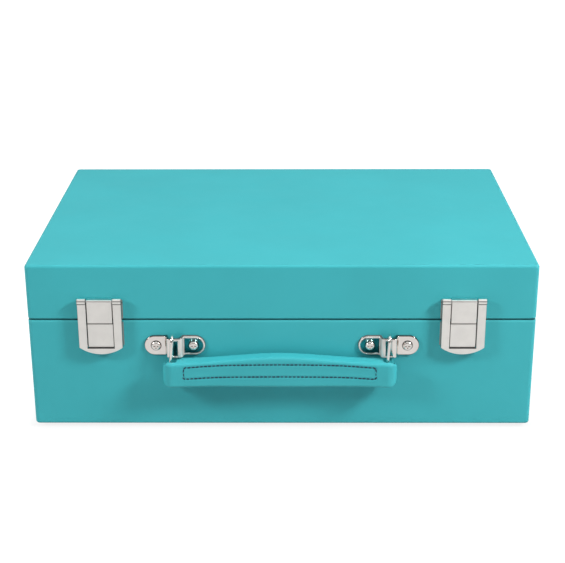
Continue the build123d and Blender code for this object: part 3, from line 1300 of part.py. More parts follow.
with BuildPart() as arm_rest:
    drum((ARM_REST.X, ARM_REST.Y), REST_POST_R, (DECK_Z, REST_SHELF_Z - REST_CHEEK_T))
    arm_block((-REST_SIDE, REST_CHEEK[1]), REST_Y, (REST_SHELF_Z - REST_CHEEK_T, REST_SHELF_Z))
    arm_block(REST_CHEEK, REST_Y, (REST_SHELF_Z, ARM_Z + ARM_TUBE_R))
    for ear in CLIP_EARS:
        arm_block((REST_CHEEK[0], CLIP_X), ear, span(ARM_Z, 2 * CLIP_BARREL_R))
        arm_rod(CLIP_BARREL_R, (CLIP_X, ear[0]), ear[1] - ear[0], (0, 1))
    arm_rod(CLIP_PIN_R, (CLIP_X, REST_Y[0]), REST_W, (0, 1))
save(arm_rest, "arm_rest")

with BuildPart() as arm_clip:
    arm_rod(CLIP_BARREL_R, (CLIP_X, CLIP_Y[0]), CLIP_W, (0, 1))
    arm_block((CLIP_X, CLIP_X + CLIP_RISE), CLIP_Y, span(ARM_Z, CLIP_T))
    hook_x = (CLIP_X + CLIP_RISE - CLIP_T, CLIP_X + CLIP_RISE)
    arm_block(hook_x, CLIP_Y, (ARM_Z - CLIP_T / 2, ARM_Z + CLIP_REACH))
    arm_rod(CLIP_PIN_R + FIT, (CLIP_X, CLIP_Y[0]), CLIP_W, (0, 1), mode=Mode.SUBTRACT)
save(arm_clip, "arm_clip")


# ---------------------------------------------------------------- controls
KNOB_LOW_Z = DECK_Z + KNOB_LIFT

for name, place in KNOB_PLACES.items():
    with BuildPart() as knob:
        turned(place, [
            (0, DECK_Z - KNOB_SHAFT_L),
            (KNOB_SHAFT_R, DECK_Z - KNOB_SHAFT_L),
            (KNOB_SHAFT_R, KNOB_LOW_Z),
            (KNOB_SKIRT_R, KNOB_LOW_Z),
            (KNOB_SKIRT_R, KNOB_LOW_Z + KNOB_SKIRT_H - CHAMFER),
            (KNOB_R, KNOB_LOW_Z + KNOB_SKIRT_H),
            (KNOB_R - CHAMFER, KNOB_LOW_Z + KNOB_H - CHAMFER),
            (KNOB_R - 2 * CHAMFER, KNOB_LOW_Z + KNOB_H),
            (0, KNOB_LOW_Z + KNOB_H),
        ])
        line_z = (KNOB_LOW_Z + KNOB_H - KNOB_LINE_D, KNOB_LOW_Z + KNOB_H)
        line_y = (place[1] - KNOB_R, place[1] - KNOB_R / 3)
        block(span(place[0], KNOB_LINE_W), line_y, line_z, mode=Mode.SUBTRACT)
    save(knob, f"{name}_knob")

for name, (place, travel) in SLIDERS.items():
    with BuildPart() as slider:
        block(span(place[0], SLIDER_W), span(place[1], SLIDER_L), (KNOB_LOW_Z, KNOB_LOW_Z + SLIDER_H))
        chamfer(slider.faces().sort_by(Axis.Z)[-1].edges(), CHAMFER)
        block(
            span(place[0], SLIDER_STEM_W),
            span(place[1], SLIDER_STEM_L),
            (DECK_Z - SLIDER_DEPTH, KNOB_LOW_Z),
        )
    save(slider, name)

with BuildPart() as control_switches:
    for place in KNOB_PLACES.values():
        drum(place, POT_R, (DECK_LOW_Z - POT_H, DECK_LOW_Z))
        drum(place, KNOB_SHAFT_R + FIT, (DECK_Z - KNOB_SHAFT_L - THRUST_GAP, DECK_LOW_Z), Mode.SUBTRACT)
    for place, travel in SLIDERS.values():
        length = SLIDER_STEM_L + 2 * (travel + HOLE_GAP)
        block(
            span(place[0], SWITCH_W),
            span(place[1], length + 2 * SWITCH_END),
            (DECK_LOW_Z - SWITCH_H, DECK_LOW_Z),
        )
        block(
            span(place[0], SLIDER_STEM_W + 2 * HOLE_GAP),
            span(place[1], length),
            (DECK_Z - SLIDER_DEPTH - HOLE_GAP, DECK_LOW_Z),
            mode=Mode.SUBTRACT,
        )
save(control_switches, "control_switches")

with BuildPart() as adapter_45:
    adapter_z = DECK_Z - ADAPTER_RECESS + THRUST_GAP
    turned(ADAPTER, [
        (ADAPTER_BORE_R, adapter_z),
        (ADAPTER_R, adapter_z),
        (ADAPTER_R, adapter_z + ADAPTER_T - CHAMFER),
        (ADAPTER_R - CHAMFER, adapter_z + ADAPTER_T),
        (ADAPTER_WEB_R, adapter_z + ADAPTER_T),
        (ADAPTER_WEB_R - ADAPTER_STEP, adapter_z + ADAPTER_T - ADAPTER_STEP),
        (ADAPTER_BORE_R, adapter_z + ADAPTER_T - ADAPTER_STEP),
    ])
save(adapter_45, "adapter_45")


# ---------------------------------------------------------------- electronics
BOARD_TOP_Z = BOARD_LOW_Z + BOARD_T
BOARD_MID_X = (BOARD_X[0] + BOARD_X[1]) / 2
BOARD_SPAN_Y = (CASE_Y + BOARD_Y[0], CASE_Y + BOARD_Y[1])
BOARD_MID_Y = (BOARD_SPAN_Y[0] + BOARD_SPAN_Y[1]) / 2
PLUG_Y = BOARD_SPAN_Y[0] + PLUG_D
PLUG_XS = [BOARD_MID_X + (step - 1) * PLUG_PITCH for step in range(3)]

with BuildPart() as main_board:
    block(BOARD_X, BOARD_SPAN_Y, (BOARD_LOW_Z, BOARD_TOP_Z))
save(main_board, "main_board")

with BuildPart() as board_components:
    for step in range(3):
        centre = (BOARD_X[0] + (step + 1) * CAPACITOR_PITCH, BOARD_SPAN_Y[1] - 2 * CAPACITOR_R)
        drum(centre, CAPACITOR_R, (BOARD_TOP_Z, BOARD_TOP_Z + CAPACITOR_H))
    sink_y = BOARD_MID_Y
    sink_x = span(BOARD_X[1] - SINK_W, SINK_W)
    block(sink_x, span(sink_y, SINK_PITCH), (BOARD_TOP_Z, BOARD_TOP_Z + SINK_H))
    for fin in range(SINK_FINS):
        fin_x = sink_x[0] + SINK_T / 2 + fin * (SINK_W - SINK_T) / (SINK_FINS - 1)
        fin_y = (sink_y + SINK_PITCH / 2, sink_y + 3 * SINK_PITCH)
        block(span(fin_x, SINK_T), fin_y, (BOARD_TOP_Z, BOARD_TOP_Z + SINK_H))
    for step in (-1, 1):
        chip_x = span(BOARD_MID_X - CHIP_W + step * CHIP_W, CHIP_W)
        block(chip_x, span(BOARD_MID_Y, CHIP_D), (BOARD_TOP_Z, BOARD_TOP_Z + CHIP_H))
    for x in PLUG_XS:
        block(span(x, PLUG_W), span(PLUG_Y, PLUG_D), (BOARD_TOP_Z, BOARD_TOP_Z + PLUG_H))
save(board_components, "board_components")

PLUG_TOP_Z = BOARD_TOP_Z + PLUG_H
LOOM_Z = PLUG_TOP_Z + 2 * WIRE_BEND
MAGNET_LOW_Z = BASKET_Z - MAGNET_H
LEAD_OUT = MAGNET_LOW_Z - LOOM_Z
WIRE_ENDS = (
    (PLUG_XS[0], (SPEAKERS[0][0], SPEAKERS[0][1], MAGNET_LOW_Z)),
    (PLUG_XS[1], (MOTOR[0], MOTOR[1], MOTOR_TOP_Z - MOTOR_H)),
    (PLUG_XS[2], (SPEAKERS[1][0], SPEAKERS[1][1], MAGNET_LOW_Z)),
)

with BuildPart() as wiring_loom:
    for x, (end_x, end_y, end_z) in WIRE_ENDS:
        with BuildLine() as wire_path:
            FilletPolyline(
                (x, PLUG_Y, PLUG_TOP_Z),
                (x, PLUG_Y, LOOM_Z),
                (end_x, end_y, LOOM_Z),
                (end_x, end_y, end_z),
                radius=WIRE_BEND,
            )
        with BuildSketch(Plane(origin=wire_path.line @ 0, z_dir=wire_path.line % 0)):
            Circle(WIRE_R)
        sweep(path=wire_path.line)
save(wiring_loom, "wiring_loom")

# ---------------------------------------------------------------- jacks in the rear wall
PANEL_FACE_DEPTH = BASE_WALL
JACK_SIZES = (
    (MINI_R, MINI_BORE_R, MINI_L),
    (MINI_R, MINI_BORE_R, MINI_L),
    (PHONO_R, PHONO_BORE_R, PHONO_L),
    (PHONO_R, PHONO_BORE_R, PHONO_L),
    (INLET_R, INLET_BORE_R, INLET_L),
)

with BuildPart() as jack_panel:
    block(
        span(JACK_X, JACK_WINDOW_W + 2 * JACK_PLATE_EDGE),
        (REAR_Y - PANEL_FACE_DEPTH - JACK_PLATE_T, REAR_Y - PANEL_FACE_DEPTH),
        span(JACK_H, JACK_WINDOW_H + 2 * JACK_PLATE_EDGE),
    )
    for x, (radius, bore, length) in zip(JACK_XS, JACK_SIZES):
        inner = out_of_rear(x, JACK_H, PANEL_FACE_DEPTH + JACK_PLATE_T)
        rod(inner, radius - JACK_NECK, JACK_PLATE_T, Mode.SUBTRACT)
save(jack_panel, "jack_panel")

with BuildPart() as jack_sockets:
    for x, (radius, bore, length) in zip(JACK_XS, JACK_SIZES):
        body_y = REAR_Y - PANEL_FACE_DEPTH - JACK_PLATE_T
        block(span(x, JACK_BODY_W), (body_y - JACK_BODY_L, body_y), span(JACK_H, JACK_BODY_W))
        rod(out_of_rear(x, JACK_H, PANEL_FACE_DEPTH + JACK_PLATE_T), radius - JACK_NECK, JACK_PLATE_T)
        rod(out_of_rear(x, JACK_H, PANEL_FACE_DEPTH), radius, length)
        mouth = out_of_rear(x, JACK_H, PANEL_FACE_DEPTH - length)
        rod(mouth, bore, -JACK_BORE_DEPTH, Mode.SUBTRACT)
save(jack_sockets, "jack_sockets")
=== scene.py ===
"""Looks of a portable suitcase record player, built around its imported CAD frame."""

from __future__ import annotations

import logging
import math
from collections.abc import Callable, Sequence
from dataclasses import dataclass, field
from enum import Enum

import bpy
import numpy as np
from mathutils import Matrix, Vector
from mathutils.bvhtree import BVHTree


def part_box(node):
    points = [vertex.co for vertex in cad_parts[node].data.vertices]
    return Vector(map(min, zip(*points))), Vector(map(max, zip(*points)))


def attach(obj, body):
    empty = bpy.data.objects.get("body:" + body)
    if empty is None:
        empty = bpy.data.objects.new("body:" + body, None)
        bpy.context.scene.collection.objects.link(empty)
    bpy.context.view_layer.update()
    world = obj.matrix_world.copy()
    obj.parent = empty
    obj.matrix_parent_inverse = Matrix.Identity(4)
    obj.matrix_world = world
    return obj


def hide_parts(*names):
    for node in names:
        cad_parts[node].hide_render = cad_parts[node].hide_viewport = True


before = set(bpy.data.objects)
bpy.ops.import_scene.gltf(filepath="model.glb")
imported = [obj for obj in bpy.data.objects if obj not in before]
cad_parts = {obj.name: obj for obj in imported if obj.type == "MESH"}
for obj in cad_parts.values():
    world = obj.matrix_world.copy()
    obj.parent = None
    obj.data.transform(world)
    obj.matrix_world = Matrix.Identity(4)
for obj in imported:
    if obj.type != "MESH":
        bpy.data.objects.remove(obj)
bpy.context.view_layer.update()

log = logging.getLogger("record_player")

MM = 0.001
PURE_WHITE = (1.0, 1.0, 1.0, 1.0)
Colour = tuple[float, float, float]
Point = tuple[float, float, float]
Pair = tuple[float, float]
Piece = bpy.types.Object


class Body(str, Enum):
    """CAD bodies that new pieces ride on."""

    BASE = "base"
    HANDLE = "handle"
    PLATTER = "platter"
    VOLUME = "volume_knob"
    FUNCTION = "function_knob"


class Slot(str, Enum):
    """The record's material slots that new pieces stand for."""

    HANDLE = "handle_leather"
    PLATTER = "platter_plastic"
    KNOB = "knob_plastic"
    DECK = "deck_plastic"


class Surface(str, Enum):
    """Names of the finishes."""

    COVERING = "covering"
    HANDLE_LEATHER = "handle_leather"
    LATCH_NICKEL = "latch_nickel"
    CHROME = "chrome"
    PAD_CHROME = "pad_chrome"
    SCREW_CHROME = "screw_chrome"
    HINGE_STEEL = "hinge_steel"
    PRESSED_STEEL = "pressed_steel"
    TURNED_STEEL = "turned_steel"
    BRASS = "brass"
    ARM_ALUMINIUM = "arm_aluminium"
    STROBE_SILVER = "strobe_silver"
    DECK_PLASTIC = "deck_plastic"
    PLATTER_PLASTIC = "platter_plastic"
    GLOSS_BLACK = "gloss_black"
    KNOB_BLACK = "knob_black"
    POINTER_KNOB = "pointer_knob"
    PLAIN_BLACK = "plain_black"
    GRILLE_PAINT = "grille_paint"
    RUBBER = "rubber"
    FERRITE = "ferrite"
    RED_PLASTIC = "red_plastic"
    INK_WHITE = "ink_white"
    MAT_FELT = "mat_felt"
    HARDBOARD = "hardboard"
    TIMBER = "timber"
    CIRCUIT = "circuit"
    CONE_PAPER = "cone_paper"
    NAVY_THREAD = "navy_thread"


class Hue(Enum):
    """Linear base colours."""

    TURQUOISE = (0.058, 0.500, 0.550)
    TURQUOISE_EDGE = (0.080, 0.560, 0.600)
    # Painted highlight on the base's edge below the seam.
    TURQUOISE_PALE = (0.095, 0.640, 0.680)
    NAVY = (0.006, 0.018, 0.045)
    # Painted shade in the seam between base and lid.
    SEAM = (0.004, 0.040, 0.046)
    LINING = (0.020, 0.022, 0.024)
    NICKEL = (0.890, 0.860, 0.820)
    CHROME = (0.860, 0.805, 0.765)
    # Painted reflection: the dark teal of the strap's shaded back, seen in the inner pads.
    SMOKED = (0.130, 0.285, 0.295)
    # Painted shade for joints, round screw heads and round outlines.
    TARNISH = (0.030, 0.027, 0.024)
    STEEL = (0.560, 0.555, 0.550)
    BRASS = (0.700, 0.500, 0.210)
    ALUMINIUM = (0.720, 0.720, 0.730)
    BLACK = (0.016, 0.016, 0.017)
    SOFT_BLACK = (0.028, 0.028, 0.030)
    FERRITE = (0.050, 0.050, 0.055)
    RUBBER = (0.018, 0.018, 0.019)
    FELT = (0.024, 0.024, 0.027)
    LINT = (0.220, 0.220, 0.220)
    DUST = (0.300, 0.290, 0.270)
    HARDBOARD = (0.270, 0.170, 0.090)
    TIMBER = (0.560, 0.380, 0.200)
    PAPER = (0.030, 0.029, 0.028)
    CIRCUIT = (0.020, 0.150, 0.045)
    TRACE = (0.050, 0.260, 0.080)
    SOLDER = (0.550, 0.550, 0.500)
    RED = (0.450, 0.015, 0.012)
    WHITE = (0.800, 0.800, 0.790)

    def toned(self, by: float) -> Colour:
        """The colour made darker or lighter by a factor."""
        return tuple(min(1.0, part * by) for part in self.value)


def middle_of(low: float, high: float) -> float:
    """Halfway between two values."""
    return (low + high) / 2


def centre_of(node: str) -> Vector:
    """Middle of a CAD node's box."""
    low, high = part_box(node)
    return (low + high) / 2


def radius_of(node: str) -> float:
    """Radius of a round CAD node, from the width of its box."""
    low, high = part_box(node)
    return (high.x - low.x) / 2


class Sock:
    """A node's output that takes arithmetic."""

    def __init__(self, graph: Graph, socket: bpy.types.NodeSocket | None) -> None:
        """Wraps an output socket of a graph."""
        self.graph = graph
        self.socket = socket

    def _math(self, operation: str, *values: Sock | float) -> Sock:
        """One Math node on one or two values."""
        return self.graph.node("ShaderNodeMath", {"operation": operation}, dict(enumerate(values)))

    def __add__(self, other: Sock | float) -> Sock:
        """Sum."""
        return self._math("ADD", self, other)

    __radd__ = __add__

    def __sub__(self, other: Sock | float) -> Sock:
        """Difference."""
        return self._math("SUBTRACT", self, other)

    def __rsub__(self, other: Sock | float) -> Sock:
        """Difference, from the other."""
        return self._math("SUBTRACT", other, self)

    def __mul__(self, other: Sock | float) -> Sock:
        """Product."""
        return self._math("MULTIPLY", self, other)

    __rmul__ = __mul__

    def __truediv__(self, other: Sock | float) -> Sock:
        """Quotient."""
        return self._math("DIVIDE", self, other)

    def __rtruediv__(self, other: Sock | float) -> Sock:
        """Quotient, of the other."""
        return self._math("DIVIDE", other, self)

    def __pow__(self, other: Sock | float) -> Sock:
        """Power."""
        return self._math("POWER", self, other)

    def __rpow__(self, other: Sock | float) -> Sock:
        """Power, of the other."""
        return self._math("POWER", other, self)

    def __neg__(self) -> Sock:
        """Negative."""
        return self * -1.0

    def __abs__(self) -> Sock:
        """Magnitude."""
        return self._math("ABSOLUTE", self)

    def sine(self) -> Sock:
        """Sine, of radians."""
        return self._math("SINE", self)

    def wave(self) -> Sock:
        """Wave from 0 to 1, of radians."""
        return self.sine() * 0.5 + 0.5

    def least(self, other: Sock | float) -> Sock:
        """The smaller of two."""
        return self._math("MINIMUM", self, other)

    def most(self, other: Sock | float) -> Sock:
        """The larger of two."""
        return self._math("MAXIMUM", self, other)

    def ramp(self, low: float, high: float, start: float = 0.0, end: float = 1.0) -> Sock:
        """Smooth step from start to end.

        Args:
            low: Value at which it begins.
            high: Value at which it ends.
            start: Result at low.
            end: Result at high.

        Returns:
            The stepped value.
        """
        values = {"Value": self, "From Min": low, "From Max": high, "To Min": start, "To Max": end}
        return self.graph.node("ShaderNodeMapRange", {"interpolation_type": "SMOOTHSTEP"}, values)

    def within(self, reach: float, fade: float) -> Sock:
        """1 up to a reach, and 0 from a fade beyond it."""
        return self.ramp(reach + fade, reach)


class Graph:
    """A node tree, and the one way in which its nodes are made."""

    def __init__(self, tree: bpy.types.NodeTree) -> None:
        """Starts from an empty tree.

        Args:
            tree: Tree of a material, a world or a modifier.
        """
        self.tree = tree
        self.tree.nodes.clear()
        self._place: Sock | None = None

    def node(
        self,
        kind: str,
        settings: dict[str, object] | None = None,
        inputs: dict[str | int, object] | None = None,
        output: str | int = 0,
    ) -> Sock:
        """Makes a node, applies its settings and then its inputs.

        Args:
            kind: Node type.
            settings: Properties of the node.
            inputs: Values or sockets by input name or number.
            output: Name or number of the output to return.

        Returns:
            The chosen output, which is empty on a node that has none.
        """
        made = self.tree.nodes.new(kind)
        for name, value in (settings or {}).items():
            setattr(made, name, value)
        for name, value in (inputs or {}).items():
            self._feed(made.inputs[name], value)
        return Sock(self, made.outputs[output] if len(made.outputs) else None)

    def _feed(self, target: bpy.types.NodeSocket, value: object) -> None:
        """Links a socket to an input, or sets the input's own value.

        Args:
            target: Input of a node.
            value: Socket, number, vector or colour.
        """
        if isinstance(value, Sock):
            self.tree.links.new(value.socket, target)
        else:
            target.default_value = value

    def place(self) -> Sock:
        """Place on the object.

        Returns:
            The vector in metres, from one node for the whole tree.
        """
        if self._place is None:
            self._place = self.node("ShaderNodeTexCoord", output="Object")
        return self._place

    def axes(self) -> tuple[Sock, Sock, Sock]:
        """X, Y and Z of the place."""
        parted = self.node("ShaderNodeSeparateXYZ", inputs={0: self.place()}).socket.node
        return tuple(Sock(self, parted.outputs[i]) for i in range(3))

    def stretched(self, by: Point, turn: float = 0.0) -> Sock:
        """The place, turned about Z and scaled per axis."""
        values = {"Vector": self.place(), "Rotation": (0.0, 0.0, turn), "Scale": by}
        return self.node("ShaderNodeMapping", inputs=values)

    def noise(self, size: float, detail: float = 2.0, rough: float = 0.5, at: Sock | None = None) -> Sock:
        """Cloudy values around a half, of a given size in metres."""
        values = {"Vector": at or self.place(), "Scale": 1.0 / size, "Detail": detail, "Roughness": rough}
        return self.node("ShaderNodeTexNoise", inputs=values)

    def cells(self, size: float, feature: str = "F1", output: str = "Distance") -> Sock:
        """Voronoi cells of a given size in metres."""
        values = {"Vector": self.place(), "Scale": 1.0 / size}
        return self.node("ShaderNodeTexVoronoi", {"feature": feature}, values, output)

    def mix(self, share: Sock | float, first: Sock | Colour, second: Sock | Colour) -> Sock:
        """Blend of two colours.

        Args:
            share: Amount of the second.
            first: Colour or socket.
            second: Colour or socket.

        Returns:
            The blended colour.
        """
        # A Mix node has sockets for each data type: its colours are inputs 6 and 7 and output 2.
        colours = {6: first, 7: second}
        values = {i: c if isinstance(c, Sock) else (*c, 1.0) for i, c in colours.items()}
        return self.node("ShaderNodeMix", {"data_type": "RGBA"}, {"Factor": share, **values}, 2)

    def distance(self, centre: Pair) -> Sock:
        """Distance in metres from an upright line."""
        x, y, _ = self.axes()
        return ((x - centre[0]) ** 2.0 + (y - centre[1]) ** 2.0) ** 0.5


@dataclass
class Look:
    """What a finish hands to the surface shader."""

    colour: Sock
    roughness: Sock
    height: Sock
    relief: float
    constants: dict[str, object] = field(default_factory=dict)


@dataclass(frozen=True)
class Finish:
    """A finish, which becomes one material."""

    name: Surface
    hue: Hue
    roughness: float = 0.5

    def look(self, graph: Graph) -> Look:
        """Builds the inputs of the surface shader."""
        raise NotImplementedError

    def shaded(self, graph: Graph, clouds: Sock, depth: float) -> Sock:
        """Its colour, a little darker and lighter by cloudy values."""
        return graph.mix(clouds.ramp(0.3, 0.7), self.hue.toned(1.0 - depth), self.hue.toned(1.0 + depth))

    def material(self) -> bpy.types.Material:
        """Makes the material once.

        Returns:
            The material of this finish.
        """
        name = "looks_" + self.name.value
        known = bpy.data.materials.get(name)
        if known:
            return known
        made = bpy.data.materials.new(name)
        made.use_nodes = True
        graph = Graph(made.node_tree)
        look = self.look(graph)
        raised = {"Strength": 1.0, "Distance": look.relief, "Height": look.height}
        normal = graph.node("ShaderNodeBump", inputs=raised)
        inputs = {"Base Color": look.colour, "Roughness": look.roughness, "Normal": normal, **look.constants}
        surface = graph.node("ShaderNodeBsdfPrincipled", inputs=inputs)
        graph.node("ShaderNodeOutputMaterial", inputs={"Surface": surface})
        made.diffuse_color = (*self.hue.value, 1.0)
        return made


@dataclass(frozen=True)
class Leatherette(Finish):
    """Coated cloth with a fine diagonal grain, and a plain lining where it faces inside."""

    pitch: float = 1.7 * MM
    relief: float = 0.05 * MM
    lined: bool = False
    slant: float = 0.83
    wander: float = 14.0 * MM
    patch: float = 5.0 * MM
    pebble: float = 0.55 * MM
    pore: float = 0.35 * MM
    cloud: float = 70.0 * MM
    sheen: float = 24.0 * MM
    seam_half: float = 0.35 * MM
    seam_fade: float = 0.45 * MM
    edge_below: float = 1.5 * MM
    edge_half: float = 0.3 * MM
    edge_fade: float = 0.6 * MM
    fibre: float = 0.8 * MM

    def look(self, graph: Graph) -> Look:
        """Twill lines over fine pebbles, and the seam and lining of the case.

        Args:
            graph: The material's tree.

        Returns:
            Inputs of the surface shader.
        """
        x, y, z = graph.axes()
        turn = math.tau / self.pitch
        wander = graph.noise(self.wander, 1.0) * 1.4
        lines = ((x + y * self.slant + z) * turn + wander).wave()
        crossing = ((x - y * self.slant - z) * (turn / 2) + wander).wave()
        pebbles = graph.cells(self.pebble, "SMOOTH_F1")
        fine = graph.noise(self.pore, 3.0, 0.6)
        broken = graph.noise(self.patch, 2.0).ramp(0.35, 0.65)
        height = (lines * 0.35 + crossing * 0.15) * (broken * 0.7 + 0.3) + pebbles * 0.35 + fine * 0.3
        colour = self.shaded(graph, graph.noise(self.cloud, 3.0, 0.55), 0.025)
        colour = graph.mix(lines * broken * 0.05, colour, Hue.TURQUOISE_EDGE.value)
        colour = graph.mix(fine.ramp(0.62, 0.8, 0.0, 0.10), colour, Hue.TURQUOISE_EDGE.value)
        rough = graph.noise(self.sheen, 3.0) * 0.10 + fine * 0.08 + (self.roughness - 0.09)
        look = Look(colour, rough, height, self.relief, {"Specular IOR Level": 0.30})
        if self.lined:
            self._seam(graph, look)
            self._lining(graph, look)
        return look

    def _seam(self, graph: Graph, look: Look) -> None:
        """Paints shade into the joint between base and lid, and a painted highlight on the edge below it.

        Args:
            graph: The material's tree.
            look: Inputs so far, which are changed.
        """
        seam = middle_of(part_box("base_shell")[1].z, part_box("lid_shell")[0].z)
        _, _, z = graph.axes()
        # Painted highlight: a pale line on the rounded top edge of the base, below the seam, where it
        # catches light.
        edge = abs(z - (seam - self.edge_below)).within(self.edge_half, self.edge_fade)
        look.colour = graph.mix(edge * 0.55, look.colour, Hue.TURQUOISE_PALE.value)
        # Painted shade: the joint between base and lid and its rims are darkened as if in shadow.
        joint = abs(z - seam).within(self.seam_half, self.seam_fade)
        look.colour = graph.mix(joint * 0.80, look.colour, Hue.SEAM.value)

    def _lining(self, graph: Graph, look: Look) -> None:
        """Turns the cloth to dull black paper inside the case.

        Args:
            graph: The material's tree.
            look: Inputs so far, which are changed.
        """
        inside = self._inside(graph)
        fibres = graph.noise(self.fibre, 4.0, 0.7, graph.stretched((1.0, 0.2, 1.0), 0.4))
        paper = graph.mix(fibres, Hue.LINING.toned(0.6), Hue.LINING.toned(1.5))
        look.colour = graph.mix(inside, look.colour, paper)
        look.roughness = look.roughness + inside * 0.35
        look.height = look.height * (1.0 - inside) + fibres * inside

    def _inside(self, graph: Graph) -> Sock:
        """Where a face lies deeper than a quarter of the wall below the outside of the case.

        Args:
            graph: The material's tree.

        Returns:
            1 inside, 0 outside.
        """
        low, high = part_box("base_shell")
        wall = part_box("deck_plate")[0].x - low.x
        middle = middle_of(low.y, high.y)
        x, y, z = graph.axes()
        from_side = high.x - abs(x)
        from_end = (high.y - middle) - abs(y - middle)
        from_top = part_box("lid_shell")[1].z - z
        nearest = from_side.least(from_end).least(from_top)
        return nearest.ramp(wall * 0.25, wall * 0.275)


@dataclass(frozen=True)
class Metal(Finish):
    """Plated, turned or brushed metal with faint marks of handling."""

    brushing: Point = (1.0, 1.0, 1.0)
    grain: float = 1.2 * MM
    relief: float = 0.004 * MM
    smudge: float = 0.06
    cloud: float = 9.0 * MM

    def look(self, graph: Graph) -> Look:
        """Stretched scratches and soft smudges.

        Args:
            graph: The material's tree.

        Returns:
            Inputs of the surface shader.
        """
        scratches = graph.noise(self.grain, 4.0, 0.65, graph.stretched(self.brushing))
        clouds = graph.noise(self.cloud, 3.0)
        colour = self.shaded(graph, clouds, 0.03)
        colour = graph.mix(scratches.ramp(0.6, 0.85, 0.0, 0.12), colour, self.hue.toned(0.7))
        rough = clouds * self.smudge + scratches * (self.smudge * 0.8) + self.roughness
        return Look(colour, rough, scratches, self.relief, {"Metallic": 1.0})


@dataclass(frozen=True)
class Pads(Metal):
    """Polished pads, the inner ones pressed a little hollow inside their rims, with a painted reflection in
    the hollow, painted highlights on rims and flanks, and painted shade round screws and outline.
    """

    tilt: float = 0.42
    # How far the painted highlight on rims and flanks lowers the metallic.
    highlight_share: float = 0.7
    rim: float = 2.0 * MM
    length: float = 43.0 * MM
    inward: float = 3.0 * MM
    flank: Pair = (2.2 * MM, 7.0 * MM)
    flank_fade: float = 0.6 * MM
    screw_gap: float = 26.4 * MM
    screw: float = 3.55 * MM
    screw_fade: float = 0.5 * MM
    outline: Pair = (0.6 * MM, 0.2 * MM)

    def look(self, graph: Graph) -> Look:
        """A hollow that leans down inside the rim of each inner pad, tinted as a painted reflection of the
        strap; pale rims and flanks as painted highlight, dark screw rings and outline as painted shade.

        Args:
            graph: The material's tree.

        Returns:
            Inputs of the surface shader.
        """
        look = super().look(graph)
        low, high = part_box("handle_brackets")
        half = (high.z - low.z) / 2
        x, _, z = graph.axes()
        above = z - middle_of(low.z, high.z)
        outward = abs(x) - (high.x - self.length / 2)
        beyond = (abs(outward) - (self.length / 2 - half)).most(0.0)
        out = (beyond ** 2.0 + above ** 2.0) ** 0.5
        inner = out.within(half - self.rim, self.rim / 2)
        inward = outward.within(0.0, self.inward)
        flank = self._flank(-outward)
        hollow_and_reflection = inner * inward * (1.0 - flank)
        # Painted highlight: rims and loop flanks lose metallic so that they read pale from every side.
        painted_highlight = flank.most((1.0 - inner) * inward)
        look.constants["Metallic"] = 1.0 - painted_highlight * self.highlight_share
        look.height = look.height + above * self.tilt / look.relief * hollow_and_reflection
        # Painted reflection: the inner pads are tinted dark teal as if they mirrored the strap's shaded
        # back.
        look.colour = graph.mix(hollow_and_reflection, look.colour, Hue.SMOKED.value)
        # Painted shade: a dark ring round each screw head and a dark line round the pad's outline, where
        # contact shadow falls.
        from_screw = ((abs(outward) - self.screw_gap / 2) ** 2.0 + above ** 2.0) ** 0.5
        round_screw = from_screw.within(self.screw, self.screw_fade)
        outline = out.ramp(half - self.outline[0], half - self.outline[1])
        look.colour = graph.mix(round_screw.most(outline) * 0.85, look.colour, Hue.TARNISH.value)
        return look

    def _flank(self, inward: Sock) -> Sock:
        """1 on the inner flank of a raised loop, by the way in from the middle of its bracket."""
        start, end = self.flank
        return inward.ramp(start, start + self.flank_fade) * inward.ramp(end, end - self.flank_fade)


@dataclass(frozen=True)
class Plates(Metal):
    """Nickel plates, with painted shade in the joints between them and round the frame's outline."""

    leg: float = 6.0 * MM
    foot: float = 4.8 * MM
    barrel: float = 3.7 * MM
    line: float = 0.42 * MM
    depth: float = 0.88
    edge_depth: float = 0.6

    def look(self, graph: Graph) -> Look:
        """Paints shade into the joints of the latch frame and its plates, and round the frame's outline.

        Args:
            graph: The material's tree.

        Returns:
            Inputs of the surface shader.
        """
        look = super().look(graph)
        low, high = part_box("latch_frame_right")
        split = middle_of(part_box("latch_catch_plates")[1].z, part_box("latch_hinge_plates")[0].z)
        half = (high.x - low.x) / 2 - self.leg
        foot = low.z + self.foot
        edge = half + self.leg
        x, _, z = graph.axes()
        across = abs(abs(x) - middle_of(low.x, high.x))
        within = across.within(half, self.line)
        sides = self._joint(across - (half - self.line / 2)) * z.ramp(foot - self.line, foot)
        levels = self._joint(z - split).most(self._joint(z - foot))
        rolled = self._joint(z - (high.z - self.barrel)) * (1.0 - within)
        # Painted shade: a dark line round the frame's outline, as its shadow on the case.
        outline = across.ramp(edge - self.line, edge - self.line * 0.3) * self.edge_depth
        # Painted shade in the gaps between the plates, where shadow falls.
        joints = sides.most(levels * within).most(rolled).most(outline) * self.depth
        look.colour = graph.mix(joints, look.colour, Hue.TARNISH.value)
        return look

    def _joint(self, off: Sock) -> Sock:
        """1 on a thin line where a distance is nought."""
        return abs(off).within(self.line / 2, self.line / 2)


